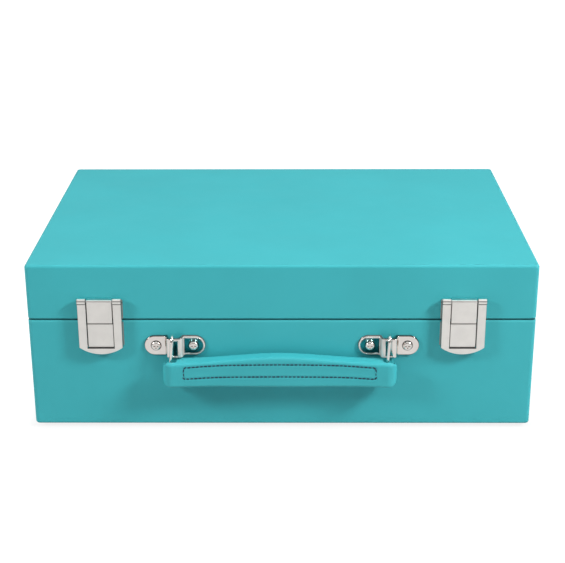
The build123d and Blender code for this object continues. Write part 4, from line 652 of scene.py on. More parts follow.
@dataclass(frozen=True)
class Plastic(Finish):
    """Moulded plastic or rubber with a spark-eroded grain."""

    grain: float = 0.5 * MM
    relief: float = 0.02 * MM
    coat: float = 0.0
    dust: float = 0.05
    flow: float = 22.0 * MM
    speck: float = 1.3 * MM

    def look(self, graph: Graph) -> Look:
        """Fine grain, soft flow marks and a little dust.

        Args:
            graph: The material's tree.

        Returns:
            Inputs of the surface shader.
        """
        grain = graph.noise(self.grain, 3.0, 0.6)
        pits = graph.cells(self.grain * 1.4)
        flow = graph.noise(self.flow, 2.0, 0.5, graph.stretched((1.0, 0.35, 1.0), 0.5))
        specks = graph.noise(self.speck, 5.0, 0.75).ramp(0.60, 0.80, 0.0, self.dust)
        colour = graph.mix(specks, self.shaded(graph, flow, 0.12), Hue.DUST.value)
        rough = flow * 0.10 + grain * 0.10 + (self.roughness - 0.10) + specks * 0.5
        return Look(colour, rough, grain * 0.6 + pits * 0.4, self.relief, {"Coat Weight": self.coat})


@dataclass(frozen=True)
class Knobs(Plastic):
    """Moulded knobs with white paint in the groove of each pointer."""

    groove: float = 1.0 * MM
    deep: float = 0.8 * MM
    reach: float = 10.0 * MM

    def look(self, graph: Graph) -> Look:
        """Paints the grooves white.

        Args:
            graph: The material's tree.

        Returns:
            Inputs of the surface shader.
        """
        look = super().look(graph)
        _, _, z = graph.axes()
        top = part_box("volume_knob")[1].z
        pointers = self._pointer(graph, "volume_knob").most(self._pointer(graph, "function_knob"))
        painted = pointers * z.ramp(top - self.deep, top - self.deep * 0.9)
        look.colour = graph.mix(painted, look.colour, Hue.WHITE.value)
        return look

    def _pointer(self, graph: Graph, node: str) -> Sock:
        """The groove of one knob, in plan.

        Args:
            graph: The material's tree.
            node: CAD node of the knob.

        Returns:
            1 on the groove, 0 beside it.
        """
        middle = centre_of(node)
        x, y, _ = graph.axes()
        out = middle.y - y
        along = out.ramp(self.reach * 0.31, self.reach * 0.34) * out.within(self.reach, self.reach * 0.02)
        return abs(x - middle.x).within(self.groove / 2, self.groove * 0.06) * along


@dataclass(frozen=True)
class Felt(Finish):
    """Pressed fibres of a mat, with rings moulded round its centre."""

    centre: Pair = (0.0, 0.0)
    ring_pitch: float = 4.2 * MM
    relief: float = 0.18 * MM
    fibre: float = 0.9 * MM
    lint: float = 2.4 * MM

    def look(self, graph: Graph) -> Look:
        """Fibres matted in two directions, lint on them, and grooves between the rings.

        Args:
            graph: The material's tree.

        Returns:
            Inputs of the surface shader.
        """
        one = graph.noise(self.fibre, 4.0, 0.7, graph.stretched((1.0, 0.15, 1.0), 0.6))
        two = graph.noise(self.fibre, 4.0, 0.7, graph.stretched((0.15, 1.0, 1.0), 0.2))
        fibres = one.most(two)
        lint = graph.noise(self.lint, 5.0, 0.8).ramp(0.64, 0.8, 0.0, 0.16)
        dark = self.hue.toned(0.55)
        matted = graph.mix(fibres.ramp(0.35, 0.75), dark, self.hue.toned(1.7))
        groove = (graph.distance(self.centre) * (math.tau / self.ring_pitch)).sine().ramp(0.75, 0.98)
        colour = graph.mix(groove * 0.7, graph.mix(lint, matted, Hue.LINT.value), dark)
        rough = fibres * 0.10 + (self.roughness - 0.05)
        sheen = {"Sheen Weight": 0.25, "Sheen Roughness": 0.6}
        return Look(colour, rough, fibres * 0.4 - groove * 1.2, self.relief, sheen)


@dataclass(frozen=True)
class Wood(Finish):
    """Sawn timber, or pressed hardboard where it has no rings."""

    rings: bool = True
    relief: float = 0.08 * MM
    fibre: float = 1.1 * MM
    fleck: float = 1.6 * MM
    ring: float = 40.0 * MM

    def look(self, graph: Graph) -> Look:
        """Growth rings along X, or flecks of pressed fibre.

        Args:
            graph: The material's tree.

        Returns:
            Inputs of the surface shader.
        """
        fibres = graph.noise(self.fibre, 5.0, 0.7, graph.stretched((0.12, 1.0, 1.0)))
        if self.rings:
            bend = graph.noise(self.ring, 2.0, 0.5, graph.stretched((0.15, 1.0, 1.0)))
            figure = (bend * 60.0).wave()
        else:
            figure = graph.noise(self.fleck, 5.0, 0.8)
        tone = figure * 0.6 + fibres * 0.4
        colour = graph.mix(tone.ramp(0.25, 0.75), self.hue.value, self.hue.toned(0.62))
        rough = fibres * 0.15 + (self.roughness - 0.07)
        return Look(colour, rough, tone, self.relief)


@dataclass(frozen=True)
class Circuit(Finish):
    """Printed circuit board with traces under its green coat."""

    lane: float = 2.6 * MM
    block: float = 13.0 * MM
    pad: float = 3.4 * MM
    cloud: float = 3.0 * MM
    relief: float = 0.04 * MM

    def look(self, graph: Graph) -> Look:
        """Straight traces in two directions, and round pads.

        Args:
            graph: The material's tree.

        Returns:
            Inputs of the surface shader.
        """
        x, y, _ = graph.axes()
        blocks = graph.cells(self.block, output="Color")
        pick = graph.node("ShaderNodeSeparateColor", inputs={0: blocks}).ramp(0.45, 0.55)
        along, across = ((axis * (math.tau / self.lane)).sine().ramp(0.2, 0.4) for axis in (x, y))
        trace = along * pick + across * (1.0 - pick)
        pads = graph.cells(self.pad).within(0.16, 0.06)
        colour = graph.mix(trace, self.hue.value, Hue.TRACE.value)
        colour = graph.mix(pads, colour, Hue.SOLDER.value)
        rough = graph.noise(self.cloud, 3.0) * 0.15 + (self.roughness - 0.08)
        return Look(colour, rough, trace * 0.5 + pads * 0.5, self.relief, {"Coat Weight": 0.3})


@dataclass(frozen=True)
class Cone(Finish):
    """Pulp paper cones, ribbed round the middle of each speaker."""

    centres: tuple[Pair, ...] = ()
    rib: float = 2.4 * MM
    fibre: float = 0.7 * MM
    relief: float = 0.12 * MM

    def look(self, graph: Graph) -> Look:
        """Pulp fibres and pressed rings.

        Args:
            graph: The material's tree.

        Returns:
            Inputs of the surface shader.
        """
        fibres = graph.noise(self.fibre, 5.0, 0.75)
        nearest = graph.distance(self.centres[0])
        for centre in self.centres[1:]:
            nearest = nearest.least(graph.distance(centre))
        rings = (nearest * (math.tau / self.rib)).wave()
        colour = graph.mix(fibres, self.hue.toned(0.6), self.hue.toned(1.8))
        rough = fibres * 0.12 + (self.roughness - 0.06)
        return Look(colour, rough, rings * 0.7 + fibres * 0.3, self.relief)


@dataclass(frozen=True)
class Thread(Finish):
    """Twisted sewing thread."""

    ply: float = 0.55 * MM
    fuzz: float = 0.3 * MM
    relief: float = 0.10 * MM

    def look(self, graph: Graph) -> Look:
        """Slanting plies.

        Args:
            graph: The material's tree.

        Returns:
            Inputs of the surface shader.
        """
        x, _, z = graph.axes()
        plies = ((x + z * 0.6) * (math.tau / self.ply)).wave()
        fuzz = graph.noise(self.fuzz, 3.0)
        colour = graph.mix(plies * 0.6 + fuzz * 0.3, self.hue.toned(0.6), self.hue.toned(2.4))
        return Look(colour, fuzz * 0.2 + self.roughness, plies, self.relief)


def set_of_finishes() -> dict[Surface, Finish]:
    """Every finish of the player, by its name.

    Returns:
        The finishes.
    """
    mat = centre_of("slipmat")
    low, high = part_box("speaker_frames")
    radius = (high.y - low.y) / 2
    cones = tuple((sign * (high.x - radius), middle_of(low.y, high.y)) for sign in (-1, 1))
    knob = {"grain": 0.5 * MM, "relief": 0.015 * MM, "coat": 0.15}
    made = (
        Leatherette(Surface.COVERING, Hue.TURQUOISE, 0.46, lined=True),
        Leatherette(Surface.HANDLE_LEATHER, Hue.TURQUOISE, 0.44, pitch=1.1 * MM, relief=0.07 * MM),
        Plates(Surface.LATCH_NICKEL, Hue.NICKEL, 0.26, (1.0, 1.0, 14.0), grain=0.6 * MM, relief=0.006 * MM),
        Metal(Surface.CHROME, Hue.CHROME, 0.07, smudge=0.04),
        Pads(Surface.PAD_CHROME, Hue.CHROME, 0.06, smudge=0.03),
        Metal(Surface.SCREW_CHROME, Hue.CHROME, 0.14, smudge=0.08),
        Metal(Surface.HINGE_STEEL, Hue.NICKEL, 0.28, (14.0, 1.0, 1.0)),
        Metal(Surface.PRESSED_STEEL, Hue.STEEL, 0.34),
        Metal(Surface.TURNED_STEEL, Hue.STEEL, 0.16, (1.0, 1.0, 20.0), grain=0.8 * MM),
        Metal(Surface.BRASS, Hue.BRASS, 0.22, (1.0, 1.0, 18.0), grain=0.8 * MM),
        Metal(Surface.ARM_ALUMINIUM, Hue.ALUMINIUM, 0.24, (1.0, 0.06, 1.0), grain=0.7 * MM),
        Metal(Surface.STROBE_SILVER, Hue.ALUMINIUM, 0.30),
        Plastic(Surface.DECK_PLASTIC, Hue.SOFT_BLACK, 0.58, grain=0.7 * MM, relief=0.06 * MM, dust=0.04),
        Plastic(Surface.PLATTER_PLASTIC, Hue.SOFT_BLACK, 0.42, grain=0.6 * MM, relief=0.02 * MM),
        Plastic(Surface.GLOSS_BLACK, Hue.BLACK, 0.22, grain=1.5 * MM, relief=0.006 * MM, coat=0.35),
        Plastic(Surface.KNOB_BLACK, Hue.BLACK, 0.32, **knob),
        Knobs(Surface.POINTER_KNOB, Hue.BLACK, 0.32, **knob),
        Plastic(Surface.PLAIN_BLACK, Hue.SOFT_BLACK, 0.48, grain=0.5 * MM, relief=0.03 * MM),
        Plastic(Surface.GRILLE_PAINT, Hue.BLACK, 0.45, grain=0.3 * MM, relief=0.02 * MM),
        Plastic(Surface.RUBBER, Hue.RUBBER, 0.78, grain=0.4 * MM, relief=0.05 * MM, dust=0.12),
        Plastic(Surface.FERRITE, Hue.FERRITE, 0.70, grain=0.6 * MM, relief=0.05 * MM),
        Plastic(Surface.RED_PLASTIC, Hue.RED, 0.25, grain=1.0 * MM, relief=0.006 * MM, coat=0.4, dust=0.02),
        Plastic(Surface.INK_WHITE, Hue.WHITE, 0.55, grain=0.3 * MM, relief=0.01 * MM, dust=0.02),
        Felt(Surface.MAT_FELT, Hue.FELT, 0.92, (mat.x, mat.y)),
        Wood(Surface.HARDBOARD, Hue.HARDBOARD, 0.75, rings=False),
        Wood(Surface.TIMBER, Hue.TIMBER, 0.68),
        Circuit(Surface.CIRCUIT, Hue.CIRCUIT, 0.38),
        Cone(Surface.CONE_PAPER, Hue.PAPER, 0.85, cones),
        Thread(Surface.NAVY_THREAD, Hue.NAVY, 0.60),
    )
    return {finish.name: finish for finish in made}


def add_mesh(
    name: str, vertices: Sequence[Point], edges: Sequence[Sequence[int]], faces: Sequence[Sequence[int]]
) -> Piece:
    """Links a new mesh object to the scene.

    Args:
        name: Name of the object.
        vertices: Points in metres.
        edges: Pairs of point numbers.
        faces: Loops of point numbers.

    Returns:
        The object.
    """
    mesh = bpy.data.meshes.new(name)
    mesh.from_pydata(vertices, edges, faces)
    mesh.update()
    made = bpy.data.objects.new(name, mesh)
    bpy.context.scene.collection.objects.link(made)
    return made


def loop_path(points: Sequence[Point]) -> Piece:
    """Closed path of edges through points."""
    return add_mesh("path", points, [(i, (i + 1) % len(points)) for i in range(len(points))], [])


def ring_path(centre: Vector, radius: float, height: float, steps: int) -> Piece:
    """Closed path of edges round an upright axis.

    Args:
        centre: Point on the axis.
        radius: Distance from the axis.
        height: Z of the path.
        steps: Number of edges.

    Returns:
        The path.
    """
    points = []
    for turn in np.linspace(0.0, math.tau, steps, endpoint=False):
        points.append((centre.x + radius * math.cos(turn), centre.y + radius * math.sin(turn), height))
    return loop_path(points)


def block(x: Pair, y: Pair, z: Pair) -> Piece:
    """Closed box that cuts other pieces.

    Args:
        x: Lowest and highest X.
        y: Lowest and highest Y.
        z: Lowest and highest Z.

    Returns:
        The box.
    """
    corners = [(px, py, pz) for px in x for py in y for pz in z]
    faces = [(0, 1, 3, 2), (4, 6, 7, 5), (0, 4, 5, 1), (2, 3, 7, 6), (0, 2, 6, 4), (1, 5, 7, 3)]
    return add_mesh("cutter", corners, [], faces)


def capsule(length: float, width: float, tall: float, rings: int = 5, around: int = 8) -> Piece:
    """Rounded bar along X, a few dozen faces.

    Args:
        length: Along X.
        width: Along Y.
        tall: Along Z.
        rings: Rows of points from end to end.
        around: Points in a row.

    Returns:
        The bar, centred on the origin.
    """
    vertices: list[Point] = []
    for i in range(rings):
        angle = math.pi * (i + 0.5) / rings
        share = math.sin(angle) ** 0.5
        for j in range(around):
            turn = math.tau * j / around
            side = math.cos(turn) * share * width / 2
            vertices.append((-math.cos(angle) * length / 2, side, math.sin(turn) * share * tall / 2))
    faces = []
    for near in range(0, (rings - 1) * around, around):
        far = near + around
        for j in range(around):
            after = (j + 1) % around
            faces.append([far + j, far + after, near + after, near + j])
    faces.append(list(range(around)))
    faces.append(list(range(rings * around - 1, (rings - 1) * around - 1, -1)))
    made = add_mesh("shape", vertices, [], faces)
    smooth(made, 60.0)
    return made


def settled(piece: Piece) -> Piece:
    """Turns a piece with its modifiers into one plain mesh.

    Args:
        piece: Object with modifiers.

    Returns:
        The same object, without them.
    """
    bpy.context.view_layer.update()
    graph = bpy.context.evaluated_depsgraph_get()
    mesh = bpy.data.meshes.new_from_object(piece.evaluated_get(graph), depsgraph=graph)
    piece.modifiers.clear()
    piece.data = mesh
    return piece


def smooth(piece: Piece, angle: float) -> None:
    """Shades a mesh smooth and keeps its sharp edges.

    Args:
        piece: Object of the mesh.
        angle: Least angle of a sharp edge, in degrees.
    """
    mesh = piece.data
    mesh.polygons.foreach_set("use_smooth", [True] * len(mesh.polygons))
    mesh.set_sharp_from_angle(angle=math.radians(angle))


def read_vectors(mesh: bpy.types.Mesh, attribute: str) -> np.ndarray:
    """Reads a vector of every vertex.

    Args:
        mesh: Mesh to read.
        attribute: "co" for places, "normal" for directions.

    Returns:
        One row for each vertex.
    """
    values = np.empty(len(mesh.vertices) * 3)
    mesh.vertices.foreach_get(attribute, values)
    return values.reshape(-1, 3)


@dataclass
class Repeat:
    """Geometry nodes that set copies of a shape along paths."""

    pitch: float
    seed: int = 3
    jitter: float = 0.0

    def tree(self) -> tuple[bpy.types.NodeTree, dict[str, str]]:
        """Builds the node tree.

        Returns:
            The tree, and its input identifiers by name.
        """
        made = bpy.data.node_groups.new("repeat_along", "GeometryNodeTree")
        kinds = {
            "Path": "NodeSocketGeometry", "Shape": "NodeSocketObject", "Pitch": "NodeSocketFloat",
            "Jitter": "NodeSocketFloat", "Seed": "NodeSocketInt", "Finish": "NodeSocketMaterial",
        }
        identifiers = {}
        for name, kind in kinds.items():
            entry = made.interface.new_socket(name, in_out="INPUT", socket_type=kind)
            identifiers[name] = entry.identifier
        made.interface.new_socket("Geometry", in_out="OUTPUT", socket_type="NodeSocketGeometry")
        graph = Graph(made)
        entered = graph.node("NodeGroupInput").socket.node
        given = {name: Sock(graph, entered.outputs[name]) for name in kinds}
        curve = graph.node("GeometryNodeMeshToCurve", inputs={"Mesh": given["Path"]})
        spaced = {"Curve": curve, "Length": given["Pitch"]}
        points = graph.node("GeometryNodeResampleCurve", {"mode": "LENGTH"}, spaced)
        tangent = graph.node("GeometryNodeInputTangent")
        spin = graph.node("FunctionNodeAlignRotationToVector", {"axis": "X"}, {"Vector": tangent})
        # A Random Value node has sockets for each data type: for a float, inputs 2 and 3 and output 1.
        spread = {"Seed": given["Seed"], 2: -1.0, 3: 1.0}
        wobble = graph.node("FunctionNodeRandomValue", {"data_type": "FLOAT"}, spread, 1)
        size = wobble * given["Jitter"] + 1.0
        shape = graph.node("GeometryNodeObjectInfo", inputs={"Object": given["Shape"]}, output="Geometry")
        values = {"Points": points, "Instance": shape, "Rotation": spin, "Scale": size}
        copies = graph.node("GeometryNodeInstanceOnPoints", inputs=values)
        whole = graph.node("GeometryNodeRealizeInstances", inputs={"Geometry": copies})
        coats = {"Geometry": whole, "Material": given["Finish"]}
        painted = graph.node("GeometryNodeSetMaterial", inputs=coats)
        graph.node("NodeGroupOutput", inputs={"Geometry": painted})
        return made, identifiers

    def along(self, name: str, path: Piece, shape: Piece, finish: Finish) -> Piece:
        """Sets copies of a shape along a path.

        Args:
            name: Name of the result.
            path: Mesh of edges, which becomes the result.
            shape: Object that is copied, whose X lies along the path.
            finish: Finish of the copies.

        Returns:
            One plain mesh with all copies.
        """
        tree, identifiers = self.tree()
        path.name = name
        modifier = path.modifiers.new("repeat", "NODES")
        modifier.node_group = tree
        given = {
            "Shape": shape, "Pitch": self.pitch, "Jitter": self.jitter, "Seed": self.seed,
            "Finish": finish.material(),
        }
        for key, value in given.items():
            modifier[identifiers[key]] = value
        settled(path)
        bpy.data.objects.remove(shape)
        return path


@dataclass(frozen=True)
class Trim:
    """What a new piece is finished in, the slot that this stands for, and what it rides on."""

    finish: Surface
    slot: Slot
    body: Body


@dataclass
class Assembly:
    """Pieces that belong together, dressed in shared finishes."""

    finishes: dict[Surface, Finish]

    def dress(self, table: dict[Surface, Sequence[str]]) -> None:
        """Gives CAD nodes their materials.

        Args:
            table: Nodes by the name of their finish.
        """
        for name, nodes in table.items():
            for node in nodes:
                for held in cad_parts[node].material_slots:
                    held.material = self.finishes[name].material()
                log.info("%s is dressed in %s", node, name.value)

    def trim(self, piece: Piece, trim: Trim) -> Piece:
        """Gives a new piece its material and body.

        Args:
            piece: The piece.
            trim: What it gets.

        Returns:
            The same piece.
        """
        piece.data.materials.clear()
        piece.data.materials.append(self.finishes[trim.finish].material())
        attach(piece, trim.body.value)
        log.info("%s rides on %s with %d faces", piece.name, trim.body.value, len(piece.data.polygons))
        return piece

    def row(self, name: str, repeat: Repeat, path: Piece, shape: Piece, trim: Trim) -> Piece:
        """Makes a piece of copies along a path.

        Args:
            name: Name of the piece.
            repeat: How the copies are set.
            path: Mesh of edges.
            shape: What is copied.
            trim: What the piece is finished in and rides on.

        Returns:
            The piece.
        """
        return self.trim(repeat.along(name, path, shape, self.finishes[trim.finish]), trim)


@dataclass(frozen=True)
class Pressing:
    """Depths, widths and places of the relief pressed into the strap."""

    groove: float = 0.30 * MM
    groove_width: float = 0.75 * MM
    shoulder: float = 0.10 * MM
    shoulder_width: float = 0.90 * MM
    shoulder_out: float = 1.60 * MM
    crease: float = 0.15 * MM
    crease_at_ends: float = 0.45 * MM
    crease_width: float = 0.55 * MM
    crease_out: float = 0.60 * MM
    crease_drift: float = 1.50 * MM
    puff: float = 0.35 * MM
    swell: float = 0.25 * MM
    wave: float = 0.06 * MM
    waves: Point = (23.0 * MM, 5.0 * MM, 31.0 * MM)
    even: float = 30.0 * MM

    def sewn(self, x: np.ndarray, z: np.ndarray, gap: np.ndarray) -> np.ndarray:
        """How far the front is pushed out round the stitching.

        Args:
            x: Place along the strap, from its middle.
            z: Height.
            gap: Distance from the stitching line.

        Returns:
            The push at each vertex, for a face that looks to the front.
        """
        groove = np.exp(-(gap / self.groove_width) ** 2) * self.groove
        shoulder = np.exp(-((gap - self.shoulder_out) / self.shoulder_width) ** 2) * self.shoulder
        long, short, slow = self.waves
        return shoulder - groove + np.sin(x / long) * np.sin(z / short + x / slow) * self.wave

    def layered(self, x: np.ndarray, from_back: np.ndarray, share: np.ndarray, wall: float) -> np.ndarray:
        """How far the top is pushed out over the two layers.

        Args:
            x: Place along the strap, from its middle.
            from_back: Distance from the strap's back.
            share: The same, as a share of the strap's thickness.
            wall: Thickness of the rear layer's wall.

        Returns:
            The push at each vertex, for a face that looks up.
        """
        ends = np.clip((np.abs(x) - self.even) / self.even, 0, 1)
        off = from_back - wall - self.crease_out - (1 - ends) * self.crease_drift
        crease = np.exp(-(off / self.crease_width) ** 2) * (self.crease + self.crease_at_ends * ends)
        return np.sin(np.pi * np.clip(share, 0, 1)) * self.puff + self.swell - crease


@dataclass
class Handle(Assembly):
    """Padded carrying strap with stitched front, on two wire rings."""

    pressing: Pressing = Pressing()
    turn_shape: float = 13.4 * MM
    straight: float = 84.0 * MM
    mid_front: float = 13.5 * MM
    end_front: float = 17.0 * MM
    front_bow: float = 0.55
    mid_back: float = 2.5 * MM
    end_back: float = 3.6 * MM
    back_bow: float = 0.5
    arch_flat: float = 64.0 * MM
    arch: float = 3.5 * MM
    sag: float = 1.2 * MM
    corner: float = 3.5 * MM
    round_edge: float = 1.6 * MM
    plan_steps: int = 150
    turn_steps: int = 14
    rim_steps: int = 5
    slot_x: float = 76.5 * MM
    slot_long: float = 8.0 * MM
    slot_deep: float = 7.0 * MM
    slot_wall: float = 2.0 * MM
    notch: float = 3.7 * MM
    voxel: float = 0.5 * MM
    relax: float = 0.5
    relax_steps: int = 5
    sharp: float = 70.0
    samples: int = 120
    stitch_pitch: float = 2.9 * MM
    stitch_share: float = 0.82
    stitch_thick: Pair = (1.0 * MM, 0.9 * MM)
    stitch_proud: float = 0.08 * MM
    stitch_seed: int = 5
    stitch_jitter: float = 0.10
    probe: float = 5.0 * MM
    stitch_half: float = 67.2 * MM
    stitch_corner: float = 1.1 * MM
    stitch_high: float = 2.9 * MM
    stitch_high_bow: float = 1.6 * MM
    stitch_low: float = 11.4 * MM
    stitch_low_bow: float = 0.9 * MM
    line_steps: int = 90
    corner_steps: int = 6

    def __post_init__(self) -> None:
        """Takes the place of the strap from its CAD solid."""
        self.low, self.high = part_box("handle_grip")
        self.middle = middle_of(self.low.x, self.high.x)
        self.half = (self.high.x - self.low.x) / 2
        self.face = self.low.y + self.end_front
        self.top = self.high.z - self.arch
        self.bottom = self.low.z + self.sag

    def build(self) -> None:
        """Dresses the brackets and rings, and makes the strap and its stitches."""
        self.dress({
            Surface.PAD_CHROME: ("handle_brackets",),
            Surface.SCREW_CHROME: ("bracket_screws",),
            Surface.CHROME: ("handle_rings",),
        })
        self.stitches(self.strap())

    def front(self, x: float) -> float:
        """How far the front stands out of the case, x from the middle."""
        return self._reach(x, self.mid_front, self.end_front, self.front_bow)

    def back(self, x: float) -> float:
        """How far the rear layer stands out of the case."""
        return self._reach(x, self.mid_back, self.end_back, self.back_bow)

    def _reach(self, x: float, middle: float, end: float, bow: float) -> float:
        """Reach that grows from the even middle to the ends.

        Args:
            x: Place along the strap, from its middle.
            middle: Reach in the even middle.
            end: Reach at the turned ends.
            bow: How much of the growth is bowed, from 0 to 1.

        Returns:
            The reach out of the case.
        """
        even = self.straight / 2
        turn = self.half - self.turn_shape / 2
        share = min(1.0, max(0.0, (abs(x) - even) / (turn - even)))
        return middle + (end - middle) * (share * (1 - bow) + share * share * bow)

    def heights(self, x: float) -> Pair:
        """Lower and upper edge of the strap.

        Args:
            x: Place along the strap, from its middle.

        Returns:
            Z of the two edges.
        """
        share = min(1.0, abs(x) / self.arch_flat)
        rise = self.arch * (1.0 - share * share * (3.0 - 2.0 * share))
        drop = self.sag * (1.0 - (x / self.half) ** 2)
        end = max(0.0, abs(x) - (self.half - self.corner))
        bend = self.corner - math.sqrt(max(0.0, self.corner ** 2 - end ** 2))
        return self.bottom - drop + bend, self.top + rise - bend

    def _plan(self) -> list[Vector]:
        """Outline seen from above: the front from tip to tip, then the back between them.

        Returns:
            Points of the closed loop, X from the middle and Y out of the case.
        """
        radius = self.turn_shape / 2
        turn = self.half - radius
        centre = middle_of(self.end_front, self.end_back)
        thick = (self.end_front - self.end_back) / 2
        angles = [math.pi / 2 * i / self.turn_steps for i in range(self.turn_steps)]
        tip = [(turn + radius * math.cos(a), centre + math.sin(a) * thick, centre - math.sin(a) * thick)
               for a in angles]
        columns = [(-x, far, near) for x, far, near in tip]
        columns += [(x, self.front(x), self.back(x)) for x in np.linspace(-turn, turn, self.plan_steps)]
        columns += tip[::-1]
        front = [Vector((x, far)) for x, far, _ in columns]
        back = [Vector((x, near)) for x, _, near in columns]
        return front + back[-2:0:-1]

    def _rim_row(self, loop: list[Vector], angle: float, upper: bool) -> list[Point]:
        """Points of the outline at one height of the rounded rim.

        Args:
            loop: Outline seen from above.
            angle: Place on the rim, from 0 at its edge to a quarter turn on the side.
            upper: Whether the rim is the upper one.

        Returns:
            The closed row.
        """
        inset = self.round_edge * (1.0 - math.sin(angle))
        drop = self.round_edge * (1.0 - math.cos(angle))
        row = []
        for i, point in enumerate(loop):
            along = loop[(i + 1) % len(loop)] - loop[i - 1]
            spot = point + Vector((along.y, -along.x)).normalized() * inset
            bottom, top = self.heights(point.x)
            z = top - drop if upper else bottom + drop
            row.append((self.middle + spot.x, self.face - spot.y, z))
        return row

    def _solid(self) -> Piece:
        """Closed body of the strap with rounded rims.

        Returns:
            The mesh object, before its holes.
        """
        loop = self._plan()
        size = len(loop)
        rims = [math.pi / 2 * k / self.rim_steps for k in range(self.rim_steps + 1)]
        rows = [self._rim_row(loop, angle, False) for angle in rims]
        rows += [self._rim_row(loop, angle, True) for angle in rims[::-1]]
        faces = []
        for start in range(0, (len(rows) - 1) * size, size):
            for i in range(size):
                after = (i + 1) % size
                faces.append([start + i, start + after, start + size + after, start + size + i])
        for start, order in ((0, -1), ((len(rows) - 1) * size, 1)):
            for i in range(size // 2):
                corners = dict.fromkeys((i, i + 1, (size - i - 1) % size, (size - i) % size))
                faces.append([start + corner for corner in corners][::order])
        return add_mesh("handle", [point for row in rows for point in row], [], faces)

    def _cutters(self) -> list[Piece]:
        """Slots for the rings, and the cut-away of the rear layer round each.

        Returns:
            Boxes to cut with, which reach a little past the strap.
        """
        near = self.face - self.end_back - self.slot_wall
        under, over = self.low.z - MM, self.high.z + MM
        made = []
        for side in (-1, 1):
            x = self.middle + side * self.slot_x
            across = (x - self.slot_long / 2, x + self.slot_long / 2)
            made.append(block(across, (near - self.slot_deep, near), (under, over)))
            made.append(block(across, (near - MM, self.face), (under, self.bottom + self.notch)))
        return made

    def _line_z(self, x: float, upper: bool) -> float:
        """Height of a row of stitches.

        Args:
            x: Place along X.
            upper: Whether the row is the upper one.

        Returns:
            Z of the row.
        """
        bow = 1.0 - ((x - self.middle) / self.stitch_half) ** 2
        if upper:
            return self.top - self.stitch_high + bow * self.stitch_high_bow
        return self.top - self.stitch_low + bow * self.stitch_low_bow

    def _line_corner(self, side: int, upper: bool, start: float) -> list[Pair]:
        """Rounded corner of the stitching, a quarter turn clockwise.

        Args:
            side: -1 for the left end, 1 for the right.
            upper: Whether it belongs to the upper row.
            start: Angle of its first point, in degrees.

        Returns:
            X and Z of its points.
        """
        radius = self.stitch_corner
        end = self.middle + side * self.stitch_half
        x = end - side * radius
        z = self._line_z(end, upper) + (-radius if upper else radius)
        angles = [math.radians(start - 90.0 * k / self.corner_steps) for k in range(self.corner_steps + 1)]
        return [(x + radius * math.cos(angle), z + radius * math.sin(angle)) for angle in angles]

    def _stitch_line(self) -> list[Pair]:
        """Rounded rectangle of the stitching.

        Returns:
            X and Z of its points, clockwise from the upper left.
        """
        reach = self.stitch_half - self.stitch_corner
        across = np.linspace(self.middle - reach, self.middle + reach, self.line_steps)
        points = [(x, self._line_z(x, True)) for x in across]
        points += self._line_corner(1, True, 90.0) + self._line_corner(1, False, 0.0)
        points += [(x, self._line_z(x, False)) for x in across[-2:0:-1]]
        points += self._line_corner(-1, False, -90.0) + self._line_corner(-1, True, -180.0)
        return points

    def strap(self) -> Piece:
        """Builds the strap with soft rims, ring holes and pressed stitching.

        Returns:
            The strap, riding on its body.
        """
        piece = self._solid()
        cutters = self._cutters()
        for cutter in cutters:
            cut = piece.modifiers.new("hole", "BOOLEAN")
            cut.operation = "DIFFERENCE"
            cut.solver = "EXACT"
            cut.object = cutter
        remesh = piece.modifiers.new("even", "REMESH")
        remesh.mode = "VOXEL"
        remesh.voxel_size = self.voxel
        remesh.adaptivity = 0.0
        relax = piece.modifiers.new("relax", "SMOOTH")
        relax.factor = self.relax
        relax.iterations = self.relax_steps
        settled(piece)
        for cutter in cutters:
            bpy.data.objects.remove(cutter)
        self._press(piece)
        smooth(piece, self.sharp)
        self.trim(piece, Trim(Surface.HANDLE_LEATHER, Slot.HANDLE, Body.HANDLE))
        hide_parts("handle_grip")
        return piece

    def _press(self, piece: Piece) -> None:
        """Presses in the line of stitches, the crease between the layers and a soft crown.

        Args:
            piece: The strap, whose vertices are moved.
        """
        mesh = piece.data
        place, normal = read_vectors(mesh, "co"), read_vectors(mesh, "normal")
        facing = np.clip(-normal[:, 1], 0, 1) ** 2
        upward = np.clip(normal[:, 2], 0, 1) ** 2
        gap = np.full(len(place), 1.0)
        for x, z in self._stitch_line():
            gap = np.minimum(gap, np.hypot(place[:, 0] - x, place[:, 2] - z))
        along = place[:, 0] - self.middle
        front, back = self._sampled(self.front, along), self._sampled(self.back, along)
        from_back = self.face - place[:, 1] - back
        push = self.pressing.sewn(along, place[:, 2], gap) * facing
        push += self.pressing.layered(along, from_back, from_back / (front - back), self.slot_wall) * upward
        place += normal * push[:, None]
        mesh.vertices.foreach_set("co", place.ravel())
        mesh.update()

    def _sampled(self, rule: Callable[[float], float], x: np.ndarray) -> np.ndarray:
        """A rule of the strap, read off between samples of it.

        Args:
            rule: Reach by place along the strap.
            x: Places along the strap, from its middle.

        Returns:
            The rule's value at each place.
        """
        at = np.linspace(-self.half, self.half, self.samples)
        return np.interp(x, at, [rule(spot) for spot in at])

    def stitches(self, strap: Piece) -> Piece:
        """Sews navy stitches round the pressed line.

        Args:
            strap: The finished strap.

        Returns:
            The stitches, riding with it.
        """
        tree = BVHTree.FromObject(strap, bpy.context.evaluated_depsgraph_get())
        points = []
        for x, z in self._stitch_line():
            hit = tree.ray_cast(Vector((x, self.low.y - self.probe, z)), Vector((0.0, 1.0, 0.0)))[0]
            points.append((x, hit.y - self.stitch_proud, z))
        sewn = Repeat(self.stitch_pitch, self.stitch_seed, self.stitch_jitter)
        shape = capsule(self.stitch_pitch * self.stitch_share, *self.stitch_thick)
        trim = Trim(Surface.NAVY_THREAD, Slot.HANDLE, Body.HANDLE)
        return self.row("handle_stitches", sewn, loop_path(points), shape, trim)


